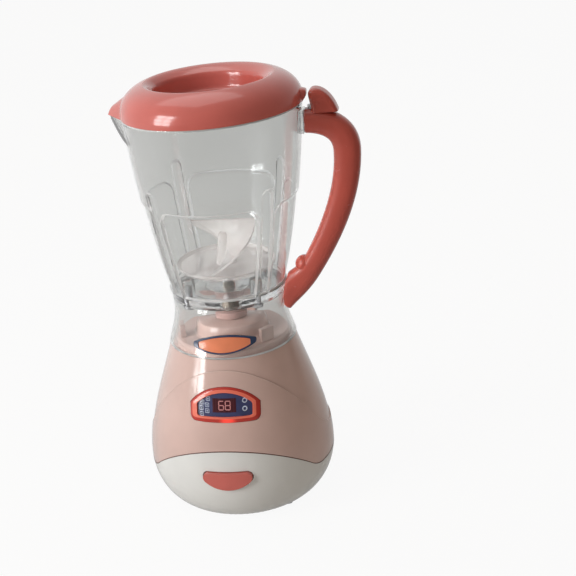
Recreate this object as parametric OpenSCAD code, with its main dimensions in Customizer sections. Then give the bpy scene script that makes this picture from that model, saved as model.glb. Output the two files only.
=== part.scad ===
// Toy juicer: battery base with a geared motor, clear jug with a swirl rotor, handle and lid.
// Millimetres, +Z up, front at -Y, handle at +X, origin at the middle of the foot on the table.

/* [Base] */
// Radius of the widest part of the base
belly_r = 52.5; // [50:0.5:56]
// Height of the widest part
belly_z = 28; // [25:1:32]
// Radius of the flat foot
foot_r = 31; // [30:0.5:35]
// Wall of the tray and the shell
base_wall = 2.2; // [1.8:0.1:2.8]
// Height at which the shell ends and the skirt begins
shoulder_z = 95.5; // [92:0.5:99]
// Radius of the shell there
shoulder_r = 35.4; // [34.5:0.1:37]
// Height of the white apron at the front
apron_z = 48.2; // [46:0.2:52]
// Slope of the apron's parting plane
apron_angle = 42; // [38:0.5:46]
// Height of the tray at the sides and the back
tray_side_z = 26; // [23:0.5:28]
// Rounding where the sloping parting plane turns level
apron_bend_r = 14; // [10:1:20]
// Gap in the seam between tray and shell
seam_gap = 0.2; // [0.1:0.05:0.4]
// Height of the swoosh line at the front
swoosh_z = 90; // [87:0.5:91]
// Slope of the swoosh plane
swoosh_angle = 62; // [56:1:66]
// Height of the swoosh line at the back
swoosh_back_z = 41; // [36:1:46]
// Rounding where the swoosh turns level
swoosh_bend_r = 26; // [15:1:36]
// Step of the swoosh line
swoosh_step = 0.6; // [0.3:0.1:1]

/* [Deck and tower] */
// Height of the deck above the shoulder
deck_rise = 3.5; // [2.5:0.5:5]
// Thickness of the deck
deck_t = 2.5; // [2:0.1:3]
// Radius of the tower on the deck
tower_r = 19.5; // [17:0.5:21]
// Height of the tower
tower_h = 8; // [6:0.5:9]
// Height of the lugs that centre the skirt
lug_h = 7.5; // [5:0.5:9]
// Radial thickness of a lug
lug_t = 2.6; // [2:0.2:4]
// Angle that a lug spans
lug_span = 16; // [12:1:26]

/* [Display] */
// Width of the display frame
display_w = 38; // [34:0.5:41]
// Lower edge of the display frame
display_z = 63.4; // [61:0.2:65]
// Height of the display frame at its middle
display_h = 18.2; // [16:0.2:19]
// Radius of the arched top
display_arch_r = 24.7; // [22:0.5:32]
// Radius of the lower corners
display_corner_r = 3; // [1.5:0.5:4]
// Border of the frame above and below the panel
frame_border = 2.8; // [2:0.2:4]
// Border of the frame beside the panel
frame_side = 4; // [3:0.2:5]
// How far the frame stands out of the shell
frame_proud = 0.8; // [0.4:0.1:1.2]
// Thickness of the frame's flange behind the shell
frame_flange_t = 0.9; // [0.7:0.1:1.4]
// Depth of the panel below the frame's face
panel_sink = 0.9; // [0.5:0.1:1.3]
// Thickness of the panel
panel_t = 1; // [0.6:0.1:1.2]
// Width of the circuit board
board_w = 30; // [26:1:34]
// Thickness of the circuit board
board_t = 1.6; // [1:0.2:2]
// Diameter of the lamp
lamp_d = 5; // [3:0.5:5]

/* [Button] */
// Flat upper edge of the button
button_top_z = 36.3; // [34.5:0.1:38]
// Height of the button
button_h = 9.8; // [9:0.1:11]
// Radius of the button's round lower edge
button_arc_r = 19.5; // [18:0.5:21]
// Radius of the button's upper corners
button_corner_r = 3; // [2.4:0.2:3.6]
// How far the button stands out of the tray
button_proud = 1.9; // [1.4:0.1:2.4]
// How far the button travels
button_travel = 1.8; // [1.2:0.1:2.2]
// Diameter of the button's stem
stem_d = 6; // [4:0.5:7]
// Length of the stem behind the flange
stem_l = 6; // [5:0.5:8]
// Diameter of the switch plunger
plunger_d = 3.2; // [2.4:0.2:4]
// Depth of the switch, front to back
switch_d = 8; // [7:0.5:10]
// Width and height of the switch
switch_w = 9; // [8:0.5:11]

/* [Drive] */
// Gear module
gear_module = 0.8; // [0.7:0.05:0.85]
// Teeth of the pinion
pinion_teeth = 12; // [11:1:13]
// Teeth of the drive gear
gear_teeth = 36; // [33:1:38]
// Width of the drive gear
gear_t = 6; // [4:0.5:8]
// Diameter of the drive shaft
drive_shaft_d = 4; // [3:0.2:5]
// Diameter of the motor shaft
motor_shaft_d = 2; // [1.6:0.1:2.4]
// Diameter of the motor can
motor_d = 20; // [18:0.5:21]
// Motor size across its flats
motor_flat = 15; // [13.5:0.5:16]
// Length of the motor can
motor_l = 25; // [22:1:27]
// Thickness of the gear plate
plate_t = 2.5; // [2:0.1:3]
// Length of the posts between deck and gear plate
post_l = 28; // [26:1:31]
// Diameter of those posts
post_d = 6.4; // [6:0.2:7]
// Outer diameter of the bushes
bush_d = 9; // [7.6:0.2:10]
// Radius of the drive coupling
coupling_r = 8.6; // [8:0.2:10]
// Height of the drive coupling
coupling_h = 6; // [5:0.5:7]
// Length of each arm of the cross drive, from the axis
cross_r = 5.6; // [4.8:0.2:6.4]
// Thickness of the cross drive
cross_t = 3; // [2.4:0.2:3.6]

/* [Battery bay] */
// Diameter of a cell
cell_d = 14.5; // [14:0.1:14.6]
// Length of a cell with its button
cell_l = 50.5; // [49.5:0.1:51]
// Room for the contacts at each end
contact_room = 3; // [2.6:0.2:3.6]
// Wall of the bay
bay_wall = 1.6; // [1.2:0.1:2]
// Thickness of the battery cover
cover_t = 1.6; // [1.4:0.1:2]
// Diameter of the cover's screw tab
cover_tab_d = 9; // [8:0.5:10]

/* [Jug] */
// Radius of the waist between skirt and container
waist_r = 30.7; // [30:0.1:32]
// Height of the waist
waist_z = 118; // [116:0.5:120]
// Height of the joint between skirt and container
jug_base_z = 123.4; // [122:0.2:126]
// Radius at that joint
jug_base_r = 31.2; // [30.5:0.1:32.5]
// Radius of the container's rim
rim_r = 47.4; // [46:0.2:49]
// Height of the container's rim
rim_z = 222.7; // [215:0.5:230]
// Wall of the container and the skirt
jug_wall = 2.2; // [1.8:0.1:2.6]
// Thickness of the container's floor
jug_floor_t = 3; // [2.4:0.2:4]
// Thickness of the skirt's flange under that floor
skirt_flange_t = 2.6; // [2:0.2:3]
// Depth of the inset lower wall
relief = 1.1; // [0.7:0.1:1.3]
// Lowest point of the scallop on each face
scallop_z = 178; // [172:1:184]
// Radius of that scallop
scallop_r = 27; // [22:1:30]
// Top of the notches between the scallops
notch_z = 197; // [192:1:202]
// Lower end of the tongue above each pillar
pillar_z = 181; // [176:1:186]
// Width of a corner pillar
pillar_w = 8.4; // [7:0.2:10]
// Width of the ribs along a pillar
pillar_rib_w = 1.6; // [1:0.2:2]
// Reach of the pouring lip from the axis
lip_reach = 54.6; // [52:0.2:58]
// Height over which the lip flares
lip_h = 13; // [9:0.5:16]
// Radius at the tip of the lip
lip_tip_r = 3; // [2.4:0.1:4]
// Radius of the ring of jug screws
jug_screw_ring_r = 25.6; // [25:0.1:26]
// Diameter of a jug screw's boss
jug_boss_d = 6.6; // [6:0.2:7]
// Height of those bosses above the floor
jug_boss_h = 9; // [7:0.5:10]
// Radius of the raised middle of the floor
floor_dome_r = 13; // [11:0.5:15]
// Height of the raised middle
floor_dome_h = 3; // [2:0.2:4]

/* [Badge] */
// Width of the badge
badge_w = 34; // [28:0.5:38]
// Height of the badge
badge_h = 9.8; // [8:0.2:11]
// Height of the badge's middle
badge_z = 103.4; // [102.5:0.1:104.5]
// Thickness of the badge
badge_t = 0.8; // [0.5:0.1:1.2]
// Width of the badge's raised border
badge_border = 0.7; // [0.5:0.1:1]
// Width of that border at the ends
badge_end = 2.4; // [1.6:0.2:3]

/* [Rotor] */
// Diameter of the rotor shaft
rotor_shaft_d = 4; // [3:0.2:4.4]
// Radius of the rotor's disc
rotor_r = 27; // [24:0.5:29]
// Thickness of the disc
rotor_disc_t = 1.4; // [1:0.1:2]
// Height of the twisted vane
vane_h = 25; // [18:1:30]
// Reach of the vane from the axis at its foot
vane_r = 22; // [18:0.5:23.5]
// Thickness of the vane
vane_t = 1.8; // [1.4:0.1:2.4]
// Twist of the vane from bottom to top
vane_twist = 105; // [60:5:150]
// Reach of the vane at the top as a share of its foot
vane_taper = 0.8; // [0.5:0.05:1]
// Diameter of the rotor's core at the disc
rotor_hub_d = 12; // [10:0.5:14]
// Diameter of the core at its tip
rotor_tip_d = 6; // [5:0.5:8]
// Diameter of the steel collar
collar_d = 8; // [7:0.2:9]
// Height of the steel collar
collar_h = 4.6; // [3.5:0.1:6]
// Radius of the driven coupling's barrel
driven_r = 8; // [7:0.2:9]
// Reach of the driven coupling's wings
wing_r = 17; // [13:0.5:19]

/* [Handle] */
// Reach of the handle from the axis
handle_reach = 76.6; // [72:0.2:82]
// Thickness of the handle at its upper bend
handle_t = 14.6; // [12:0.2:16]
// Width of the handle across
handle_w = 14.4; // [12:0.2:17]
// Height of the handle's upper arm below the rim
handle_drop = 7.6; // [7:0.1:8.6]
// Height of the handle's lower tip
handle_tip_z = 112.5; // [110:0.5:115]
// Length of the clear bracket that carries the handle
bracket_l = 1.8; // [1.2:0.1:3]
// Radius of the small stop on the inner side
stop_r = 4.6; // [3.6:0.2:5.4]
// Height of the thumb rest
thumb_h = 10.4; // [9:0.2:12]
// Length of the thumb rest
thumb_l = 14.8; // [13:0.2:17]
// Width of the thumb rest
thumb_w = 11; // [9:0.5:13]

/* [Lid] */
// Radius of the lid's rim
lid_r = 47.9; // [47:0.1:50]
// Height of the lid above the rim
lid_h = 16.8; // [15:0.2:18]
// Wall of the lid
lid_wall = 2; // [1.6:0.1:2.4]
// Radius of the finger dish at its lip
dish_r = 30; // [26:0.5:33]
// Depth of the dish below the crest of the lid
dish_depth = 13.6; // [11:0.2:14.4]
// Radius of the lid's crest
crest_r = 34.4; // [33:0.2:36]
// Rise of the lid's top towards the handle
lid_tilt = 1.8; // [0.5:0.1:2.4]
// Depth of the plug that enters the jug
plug_h = 3; // [2:0.5:5]
// Reach of the spout cover
spout_reach = 55.4; // [53:0.2:58]
// Radius of the beak's tip
spout_tip_r = 3; // [2.4:0.1:3.4]
// Growth of the beak's radius towards the lid
spout_flare = 1.48; // [1.3:0.02:1.5]
// Lean of the beak's axis below level
spout_lean = 22; // [20:1:26]
// Width of the small tab at the handle
lid_tab_w = 8; // [6:0.5:10]
// Length of that tab beyond the rim
lid_tab_l = 1.9; // [1:0.1:2.2]

/* [Fits] */
// Gap between parts of different bodies
gap = 0.4; // [0.3:0.05:0.6]
// Gap between fixed parts of one body
seat_gap = 0.15; // [0.1:0.05:0.25]
// Radial clearance of a running shaft
run_fit = 0.05; // [0.03:0.01:0.09]
// Radial clearance of a pressed shaft
press_fit = 0.02; // [0.01:0.005:0.03]
// Length of screw in a post
screw_bite = 9; // [7:0.5:10]
// Diameter of the small screws
screw_d = 2.6; // [2:0.1:3]
// Diameter of their heads
screw_head_d = 5.2; // [4.4:0.1:5.6]

/* [Hidden] */
$fn = 96;

// Points on curves, and curves moved sideways
function cubic(a, b, c, d, t) =
    a * pow(1 - t, 3) + 3 * b * t * pow(1 - t, 2) + 3 * c * t * t * (1 - t) + d * pow(t, 3);
function cubic_points(a, b, c, d, n) = [for (i = [0:n]) cubic(a, b, c, d, i / n)];
function tail(list) = [for (i = [1:len(list) - 1]) list[i]];
// Points of an arc after its first one
function arc_points(c, r, from, to, n) =
    [for (i = [1:n]) c + r * [cos(from + (to - from) * i / n), sin(from + (to - from) * i / n)]];
function reversed(list) = [for (i = [len(list) - 1:-1:0]) list[i]];
function chord(list, i) = list[min(i + 1, len(list) - 1)] - list[max(i - 1, 0)];
function inset(list, d) = [for (i = [0:len(list) - 1])
    let (t = chord(list, i) / norm(chord(list, i))) list[i] + d * [-t[1], t[0]]];
function radius_at(list, z) = lookup(z, [for (p = list) [p[1], p[0]]]);

// Outline of the base: elliptic foot, then a long curve in to the shoulder
foot_steps = 9;
shell_steps = 12;
shoulder_lean = 0.31;
shell_pull = 22;
foot_line = [for (i = [0:foot_steps]) let (a = 90 * i / foot_steps)
    [foot_r + (belly_r - foot_r) * sin(a), belly_z * (1 - cos(a))]];
shell_line = cubic_points([belly_r, belly_z], [belly_r, belly_z + shell_pull],
    [shoulder_r + shoulder_lean * shell_pull, shoulder_z - shell_pull],
    [shoulder_r, shoulder_z], shell_steps);
base_line = concat(foot_line, tail(shell_line));
reach = belly_r + 20;

// Outline of the skirt and of the container above it
skirt_pull = 9;
skirt_line = concat(cubic_points([shoulder_r, shoulder_z],
    [shoulder_r - shoulder_lean * skirt_pull, shoulder_z + skirt_pull],
    [waist_r, waist_z - skirt_pull], [waist_r, waist_z], 8), [[jug_base_r, jug_base_z]]);
jug_pull = 29;
jug_lean = 0.3;
rim_lean = 0.085;
jug_line = cubic_points([jug_base_r, jug_base_z], [jug_base_r + jug_lean * jug_pull, jug_base_z + jug_pull],
    [rim_r - rim_lean * jug_pull, rim_z - jug_pull], [rim_r, rim_z], 14);

// Levels in the deck and the drive
ledge_z = shoulder_z - gap;
deck_z = shoulder_z + deck_rise;
tower_z = deck_z + tower_h;
lug_angles = [80, 200, 320];
lean_factor = sqrt(1 + shoulder_lean * shoulder_lean);
neck_r = radius_at(skirt_line, deck_z) - (jug_wall + gap) * lean_factor;
lug_r = radius_at(skirt_line, deck_z + lug_h) - (jug_wall + gap) * lean_factor;
plate_top_z = deck_z - deck_t - post_l;
plate_z = plate_top_z - plate_t;
coupling_z = tower_z + gap;
coupling_top_z = coupling_z + coupling_h;
socket_z = coupling_z + 1.6;
gear_z = plate_top_z + 2;
shaft_foot_h = 5;
gear_distance = gear_module * (gear_teeth + pinion_teeth) / 2;
floor_top_z = jug_base_z + jug_floor_t;
dome_z = floor_top_z + floor_dome_h;
collar_z = dome_z + gap;
disc_z = max(collar_z + collar_h + 1, floor_top_z + jug_boss_h + 1.4);
bush_wall_d = bush_d + 5;

// Display and circuit board
display_top_z = display_z + display_h;
panel_depth = panel_sink - frame_proud;
board_top_z = display_top_z + 6;
board_low_z = display_z - 6.5;
board_inner_r = radius_at(base_line, board_top_z) - base_wall - swoosh_step;
board_y = -sqrt(pow(board_inner_r, 2) - pow(board_w / 2, 2)) + 1.2;
board_hole_x = board_w / 2 - 3.5;
board_pin_d = 2;
display_start = -board_y + 0.2;
frame_back = base_wall + swoosh_step + seat_gap + frame_flange_t;
plate_r = -board_y - board_t - 1.6;
post_ring_r = plate_r - post_d / 2 - 0.8;
post_angles = [35, 145, 215, 325];

// Button and switch
button_axis_z = button_top_z - button_h * 0.45;
flange_y = -(radius_at(base_line, button_axis_z) - base_wall - gap - 1.5);
stem_end_y = flange_y + stem_l;
switch_y = stem_end_y + button_travel + 2;
switch_back_y = switch_y + switch_d;

// Battery bay
cover_gap = 0.3;
cover_z = 0;
cover_head_h = cover_t - 0.6;
bay_floor_z = cover_z + cover_t + seat_gap;
bay_l = cell_l + 2 * contact_room;
bay_w = 2 * cell_d + 1.4;
cell_z = bay_floor_z + cell_d / 2 + 0.1;
bay_top_z = cell_z + 4;
cell_y = cell_d / 2 + 0.3;
cover_l = bay_l + 3;
cover_w = bay_w + 3;
tab_y = cover_w / 2 + cover_tab_d / 2 - 1.5;
floor_pad_t = bay_floor_z + 1.6;

// Screws that join tray and shell
corner_angles = [45, 135, 225, 315];
base_screw_r = foot_r + 8.5;
base_boss_z = tray_side_z - 3;
base_head_z = 5.5;

// Handle, in the plane Y = 0
handle_arm_z = rim_z - handle_drop;
handle_start_x = radius_at(jug_line, handle_arm_z) + bracket_l;
handle_mid_x = handle_reach - handle_t / 2;
handle_side_z = rim_z - 24;
handle_tip_x = radius_at(skirt_line, handle_tip_z) + 0.8;
handle_bend = 13;
handle_steps = 12;
handle_path = concat(
    cubic_points([handle_start_x, handle_arm_z], [handle_start_x + handle_bend, handle_arm_z],
        [handle_mid_x, handle_arm_z - 2], [handle_mid_x, handle_side_z], handle_steps),
    tail(cubic_points([handle_mid_x, handle_side_z], [handle_mid_x, handle_side_z - 29],
        [handle_tip_x + 20, handle_tip_z + 27], [handle_tip_x, handle_tip_z], 2 * handle_steps)));
handle_top_z = handle_arm_z + handle_t * 0.43;
thumb_nose_x = handle_start_x + 2.4;
stop_at = [handle_tip_x + 12.2, handle_tip_z + 24];

// Lid
lid_z = rim_z + gap;
crest_z = lid_z + lid_h;
dish_z = crest_z - dish_depth;
spout_l = spout_reach - lid_r + 3.3;
plug_r = radius_at(jug_line, rim_z - plug_h) - jug_wall - gap;
lid_side = cubic_points([lid_r, lid_z], [lid_r + 0.2, lid_z + lid_h * 0.75],
    [crest_r + 2.4, crest_z - 0.4], [crest_r, crest_z], 12);
lid_lip = cubic_points([crest_r, crest_z], [crest_r - 1.6, crest_z + 0.25],
    [dish_r + 0.6, crest_z - 0.4], [dish_r - 0.8, crest_z - 4.5], 7);
lid_line = concat(lid_side, tail(lid_lip));

// A flat outline in X and Z, pushed towards the front from a distance before the axis
module to_front(start) {
    translate([0, -start, 0])
        rotate([90, 0, 0])
            linear_extrude(reach)
                children();
}

// A flat outline in Y and Z, spread along X
module across(width) {
    rotate([90, 0, 90])
        linear_extrude(width, center = true)
            children();
}

// Solid inside the base outline, moved in by d
module base_core(d) {
    line = inset(base_line, d);
    top = line[len(line) - 1];
    rotate_extrude()
        polygon(concat([[0, line[0][1]]], line, [[top[0] - 4 * shoulder_lean, top[1] + 4], [0, top[1] + 4]]));
}

// Layer of the base wall between two depths
module base_layer(outer_d, inner_d) {
    rotate_extrude()
        polygon(concat(inset(base_line, outer_d), reversed(inset(base_line, inner_d))));
}

// Line in Y and Z that comes down from the front and turns level
function bent_line(front_y, front_z, angle, level, bend_r) =
    let (corner = front_y + (front_z - level) / tan(angle), run = bend_r * tan(angle / 2))
    concat([[-2 * reach, level + (corner + 2 * reach) * tan(angle)]],
        [for (i = [0:8]) let (a = -90 - angle + angle * i / 8)
            [corner + run + bend_r * cos(a), level + bend_r + bend_r * sin(a)]],
        [[2 * reach, level]]);
parting_line = bent_line(-radius_at(base_line, apron_z), apron_z, apron_angle, tray_side_z, apron_bend_r);
swoosh_line = bent_line(-radius_at(base_line, swoosh_z), swoosh_z, swoosh_angle,
    swoosh_back_z, swoosh_bend_r);

// Space above such a line
module above(line, lift) {
    translate([0, 0, lift])
        across(3 * reach)
            polygon(concat(line, [[2 * reach, 4 * reach], [-2 * reach, 4 * reach]]));
}

// Arched display outline, moved in by d above and below and by side at its ends
module display_outline(d, side) {
    half = display_w / 2 - side;
    corner = max(display_corner_r - d, 0.6);
    intersection() {
        translate([0, display_top_z - display_arch_r])
            circle(display_arch_r - d);
        union() {
            translate([-half, display_z + d + corner])
                square([2 * half, display_h]);
            translate([-half + corner, display_z + d])
                square([2 * (half - corner), display_h]);
            for (s = [-1, 1])
                translate([s * (half - corner), display_z + d + corner])
                    circle(corner);
        }
    }
}

// Half-moon button outline with round upper corners, moved out by d
module button_outline(d) {
    arc_z = button_top_z - button_h + button_arc_r;
    corner_z = button_top_z - button_corner_r;
    corner_x = sqrt(pow(button_arc_r - button_corner_r, 2) - pow(arc_z - corner_z, 2));
    spread = atan2(corner_x, arc_z - corner_z);
    polygon(concat(
        arc_points([0, arc_z], button_arc_r + d, -90 - spread, -90 + spread, 20),
        arc_points([corner_x, corner_z], button_corner_r + d, -90 + spread, 90, 9),
        arc_points([-corner_x, corner_z], button_corner_r + d, 90, 270 - spread, 9)));
}

// Outline of two circles and their common tangents, the small one towards -X
module teardrop(big_r, tip_r, tip_reach) {
    away = tip_reach - tip_r;
    turn = acos((big_r - tip_r) / away);
    circle(big_r);
    translate([-away, 0])
        circle(tip_r);
    polygon([[-big_r * cos(turn), big_r * sin(turn)], [-away - tip_r * cos(turn), tip_r * sin(turn)],
        [-away - tip_r * cos(turn), -tip_r * sin(turn)], [-big_r * cos(turn), -big_r * sin(turn)]]);
}

// Involute gear outline
function involute(a) = tan(a) * 180 / PI - a;
function flank_angle(teeth, play, pitch_r, r) =
    90 / teeth - play / pitch_r * 180 / PI + involute(20) - involute(acos(min(1, pitch_r * cos(20) / r)));
function tooth_side(teeth, play, pitch_r, low_r, high_r, n) =
    [for (i = [0:n]) let (r = low_r + (high_r - low_r) * i / n) [r, flank_angle(teeth, play, pitch_r, r)]];
module gear_outline(teeth, play = 0.08) {
    pitch_r = gear_module * teeth / 2;
    low_r = max(pitch_r * cos(20), pitch_r - 1.15 * gear_module);
    side = concat([[pitch_r - 1.25 * gear_module, flank_angle(teeth, play, pitch_r, low_r)]],
        tooth_side(teeth, play, pitch_r, low_r, pitch_r + 0.95 * gear_module, 4));
    polygon([for (k = [0:teeth - 1]) each concat(
        [for (p = side) let (a = 360 / teeth * k - p[1]) p[0] * [cos(a), sin(a)]],
        [for (p = reversed(side)) let (a = 360 / teeth * k + p[1]) p[0] * [cos(a), sin(a)]])]);
}

// Cross outline of the drive
module cross_outline(d) {
    for (a = [0, 90])
        rotate(a)
            square([2 * (cross_r + d), cross_t + 2 * d], center = true);
}

// Screw with its head down and its shank up, from the seat of the head
module screw(shank_l, head_h = 1.8) {
    cylinder(h = shank_l, d = screw_d);
    difference() {
        translate([0, 0, -head_h])
            cylinder(h = head_h, d = screw_head_d);
        translate([0, 0, -head_h - 1])
            for (a = [0, 90])
                rotate(a)
                    translate([-screw_d / 2, -0.4, 0])
                        cube([screw_d, 0.8, 2]);
    }
}

// Base
module base_tray() {
    color("whitesmoke")
    difference() {
        union() {
            difference() {
                base_core(0);
                base_core(base_wall);
                above(parting_line, -seam_gap);
            }
            intersection() {
                base_core(base_wall / 2);
                union() {
                    bay_frame();
                    screw_tower();
                    switch_stand();
                    for (a = corner_angles)
                        rotate(a)
                            translate([base_screw_r, 0, 0])
                                cylinder(h = base_boss_z, d = 9);
                }
            }
        }
        translate([0, 0, -1])
            linear_extrude(cover_z + cover_t + seat_gap + 1)
                cover_outline(cover_gap);
        translate([-bay_l / 2, -bay_w / 2, 0])
            cube([bay_l, bay_w, bay_top_z + 1]);
        translate([0, tab_y, 0])
            cylinder(h = bay_top_z - 1.5, d = screw_d + 2 * press_fit);
        for (a = corner_angles)
            rotate(a)
                translate([base_screw_r, 0, -1]) {
                    cylinder(h = base_head_z + 1, d = screw_head_d + 1);
                    cylinder(h = base_boss_z + 2, d = screw_d + 0.5);
                }
        to_front(-flange_y - 4)
            button_outline(gap);
    }
}

// Walls of the battery bay on their thick floor
module bay_frame() {
    linear_extrude(floor_pad_t)
        cover_outline(2);
    translate([-bay_l / 2 - bay_wall, -bay_w / 2 - bay_wall, 0])
        cube([bay_l + 2 * bay_wall, bay_w + 2 * bay_wall, bay_top_z]);
}

// Tower that takes the screw of the battery cover
module screw_tower() {
    translate([0, tab_y, 0])
        cylinder(h = bay_top_z, d = cover_tab_d - 2);
}

// Upright plate with two ribs that holds the switch
module switch_stand() {
    stand_top = button_axis_z + switch_w / 2 + 1;
    translate([-switch_w / 2 - 2, switch_back_y + seat_gap, 0])
        cube([switch_w + 4, 2, stand_top]);
    for (s = [-1, 1])
        translate([s * (switch_w / 2 + seat_gap + 0.9) - 0.9, switch_y + 1, 0])
            cube([1.8, switch_d, stand_top]);
    translate([-switch_w / 2 - 2, switch_y + 1, 0])
        cube([switch_w + 4, switch_d, button_axis_z - switch_w / 2 - seat_gap]);
}

// Outline of the battery cover with its screw tab, moved out by d
module cover_outline(d) {
    square([cover_l + 2 * d, cover_w + 2 * d], center = true);
    translate([0, tab_y])
        circle(d = cover_tab_d + 2 * d);
    translate([-cover_tab_d / 2 - d, 0])
        square([cover_tab_d + 2 * d, tab_y]);
}

module base_shell() {
    color("rosybrown")
    difference() {
        union() {
            difference() {
                intersection() {
                    base_core(0);
                    above(parting_line, 0);
                }
                intersection() {
                    base_layer(-2, swoosh_step);
                    above(swoosh_line, 0);
                }
                translate([0, 0, ledge_z])
                    cylinder(h = 10, r = reach);
                base_core(base_wall + swoosh_step);
            }
            deck();
            intersection() {
                base_core(base_wall / 2 + swoosh_step);
                shell_posts();
            }
        }
        translate([0, 0, deck_z - deck_t - 1])
            cylinder(h = tower_h + deck_t + 2, d = bush_d + 2 * press_fit);
        for (a = post_angles)
            rotate(a)
                translate([post_ring_r, 0, plate_top_z - 1])
                    cylinder(h = screw_bite + 3, d = screw_d + 2 * press_fit);
        for (a = corner_angles)
            rotate(a)
                translate([base_screw_r, 0, base_boss_z - 1])
                    cylinder(h = screw_bite + 3, d = screw_d + 2 * press_fit);
        to_front(display_start)
            display_outline(-seat_gap, -seat_gap);
    }
}

// Deck, tower and the lugs that centre the skirt
module deck() {
    tower_wall = 2.4;
    rotate_extrude()
        polygon([[0, tower_z - 2.2], [0, tower_z], [tower_r - 2.6, tower_z], [tower_r - 1, tower_z - 0.7],
            [tower_r, tower_z - 2.4], [tower_r + 0.8, deck_z + 0.8], [tower_r + 1.8, deck_z],
            [neck_r - 1, deck_z], [neck_r, deck_z - 1], [neck_r, ledge_z],
            [shoulder_r - swoosh_step, ledge_z],
            [shoulder_r - swoosh_step, ledge_z - 0.2],
            [radius_at(base_line, ledge_z - 2.6) - swoosh_step - 0.2, ledge_z - 2.6],
            [neck_r - 2.2, ledge_z - 2.6],
            [neck_r - 2.2, deck_z - deck_t], [tower_r + 0.8 - tower_wall, deck_z - deck_t],
            [tower_r - tower_wall, tower_z - 2.2]]);
    translate([0, 0, deck_z - deck_t])
        cylinder(h = tower_h + deck_t - 1, d = bush_wall_d);
    for (a = lug_angles)
        rotate(a - lug_span / 2)
            rotate_extrude(angle = lug_span)
                translate([lug_r - lug_t, deck_z - 0.5])
                    square([lug_t, lug_h + 0.5]);
}

// Posts for the gear plate, for the tray's screws and for the circuit board
module shell_posts() {
    for (a = post_angles)
        rotate(a)
            translate([post_ring_r, 0, plate_top_z])
                cylinder(h = post_l + 1, d = post_d);
    for (a = corner_angles)
        rotate(a)
            translate([base_screw_r, 0, base_boss_z + seat_gap])
                cylinder(h = shoulder_z - base_boss_z - 4, d = 7);
    for (s = [-1, 1])
        for (z = [board_low_z + 2.6, board_top_z - 2.2])
            translate([s * board_hole_x, board_y - seat_gap, z])
                rotate([90, 0, 0])
                    cylinder(h = reach, d = 4);
    for (s = [-1, 1])
        for (z = [board_low_z + 2.6, board_top_z - 2.2])
            translate([s * board_hole_x, board_y + board_t + 0.8, z])
                rotate([90, 0, 0])
                    cylinder(h = board_t + 3, d = board_pin_d);
}

module battery_cover() {
    color("gainsboro")
    difference() {
        union() {
            translate([0, 0, cover_z])
                linear_extrude(cover_t)
                    cover_outline(0);
            for (s = [-1, 1])
                translate([s * (bay_l / 2 - 1.6) - 0.8, -bay_w / 2 + 1, cover_z])
                    cube([1.6, 2.2, cover_t + 2]);
        }
        translate([0, tab_y, 0]) {
            cylinder(h = cover_t + 2, d = screw_d + 0.5);
            cylinder(h = cover_z + cover_head_h, d = screw_head_d + 0.5);
        }
    }
}

module cover_screw() {
    color("silver")
    translate([0, tab_y, cover_z + cover_head_h])
        screw(bay_top_z - cover_z - cover_head_h - 2, head_h = cover_head_h - 0.1);
}

module battery_cells() {
    color("dimgray")
    for (s = [-1, 1])
        translate([-s * cell_l / 2, s * cell_y, cell_z])
            rotate([0, s * 90, 0]) {
                cylinder(h = cell_l - 1, d = cell_d - 0.2);
                cylinder(h = cell_l, d = 5.4);
            }
}

module battery_contacts() {
    plate_x = bay_l / 2 - seat_gap - 0.5;
    color("silver")
    for (s = [-1, 1]) {
        for (e = [-1, 1])
            translate([e > 0 ? plate_x : -plate_x - 0.5, s * cell_y - 4.5, bay_floor_z + 1.5])
                cube([0.5, 9, cell_d - 4]);
        translate([-s * plate_x, s * cell_y, cell_z])
            rotate([0, s * 90, 0])
                difference() {
                    cylinder(h = contact_room - 1, d1 = 8, d2 = 6);
                    translate([0, 0, -1])
                        cylinder(h = contact_room + 1, d = 4.6);
                }
    }
}

module base_screws() {
    color("silver")
    for (a = corner_angles)
        rotate(a)
            translate([base_screw_r, 0, base_head_z])
                screw(base_boss_z + seat_gap - base_head_z + screw_bite, head_h = 2);
}

// Drive
module gear_plate() {
    arm_t = 1.8;
    color("ivory")
    difference() {
        union() {
            translate([0, 0, plate_z])
                cylinder(h = plate_t, r = plate_r);
            translate([0, 0, plate_z - shaft_foot_h])
                cylinder(h = shaft_foot_h + plate_t + 1.4, d = drive_shaft_d + 4.5);
            for (s = [-1, 1])
                translate([s * (motor_d / 2 + seat_gap + arm_t / 2) - arm_t / 2,
                    gear_distance - motor_flat / 4, plate_z - motor_l * 0.6])
                    cube([arm_t, motor_flat / 2, motor_l * 0.6 + 0.5]);
        }
        translate([0, 0, plate_z - shaft_foot_h + 1.2])
            cylinder(h = shaft_foot_h + plate_t + 4, d = drive_shaft_d + 2 * run_fit);
        translate([0, gear_distance, plate_z - 1])
            cylinder(h = plate_t + 2, d = 7);
        for (a = post_angles)
            rotate(a)
                translate([post_ring_r, 0, plate_z - 1])
                    cylinder(h = plate_t + 2, d = screw_d + 0.4);
    }
}

module plate_screws() {
    color("silver")
    for (a = post_angles)
        rotate(a)
            translate([post_ring_r, 0, plate_z])
                screw(plate_t + screw_bite);
}

module motor() {
    color("silver")
    translate([0, gear_distance, plate_z - seat_gap - motor_l])
        difference() {
            union() {
                intersection() {
                    cylinder(h = motor_l, d = motor_d);
                    translate([-motor_d / 2, -motor_flat / 2, 0])
                        cube([motor_d, motor_flat, motor_l]);
                }
                translate([0, 0, -2])
                    cylinder(h = motor_l + 3.4, d = 6);
            }
            translate([0, 0, 4])
                cylinder(h = motor_l + 4, d = motor_shaft_d + 2 * run_fit);
        }
}

module motor_shaft() {
    color("lightgray")
    translate([0, gear_distance, plate_z - motor_l + 4.5])
        cylinder(h = gear_z + gear_t + 1 - plate_z + motor_l - 4.5, d = motor_shaft_d);
}

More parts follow.
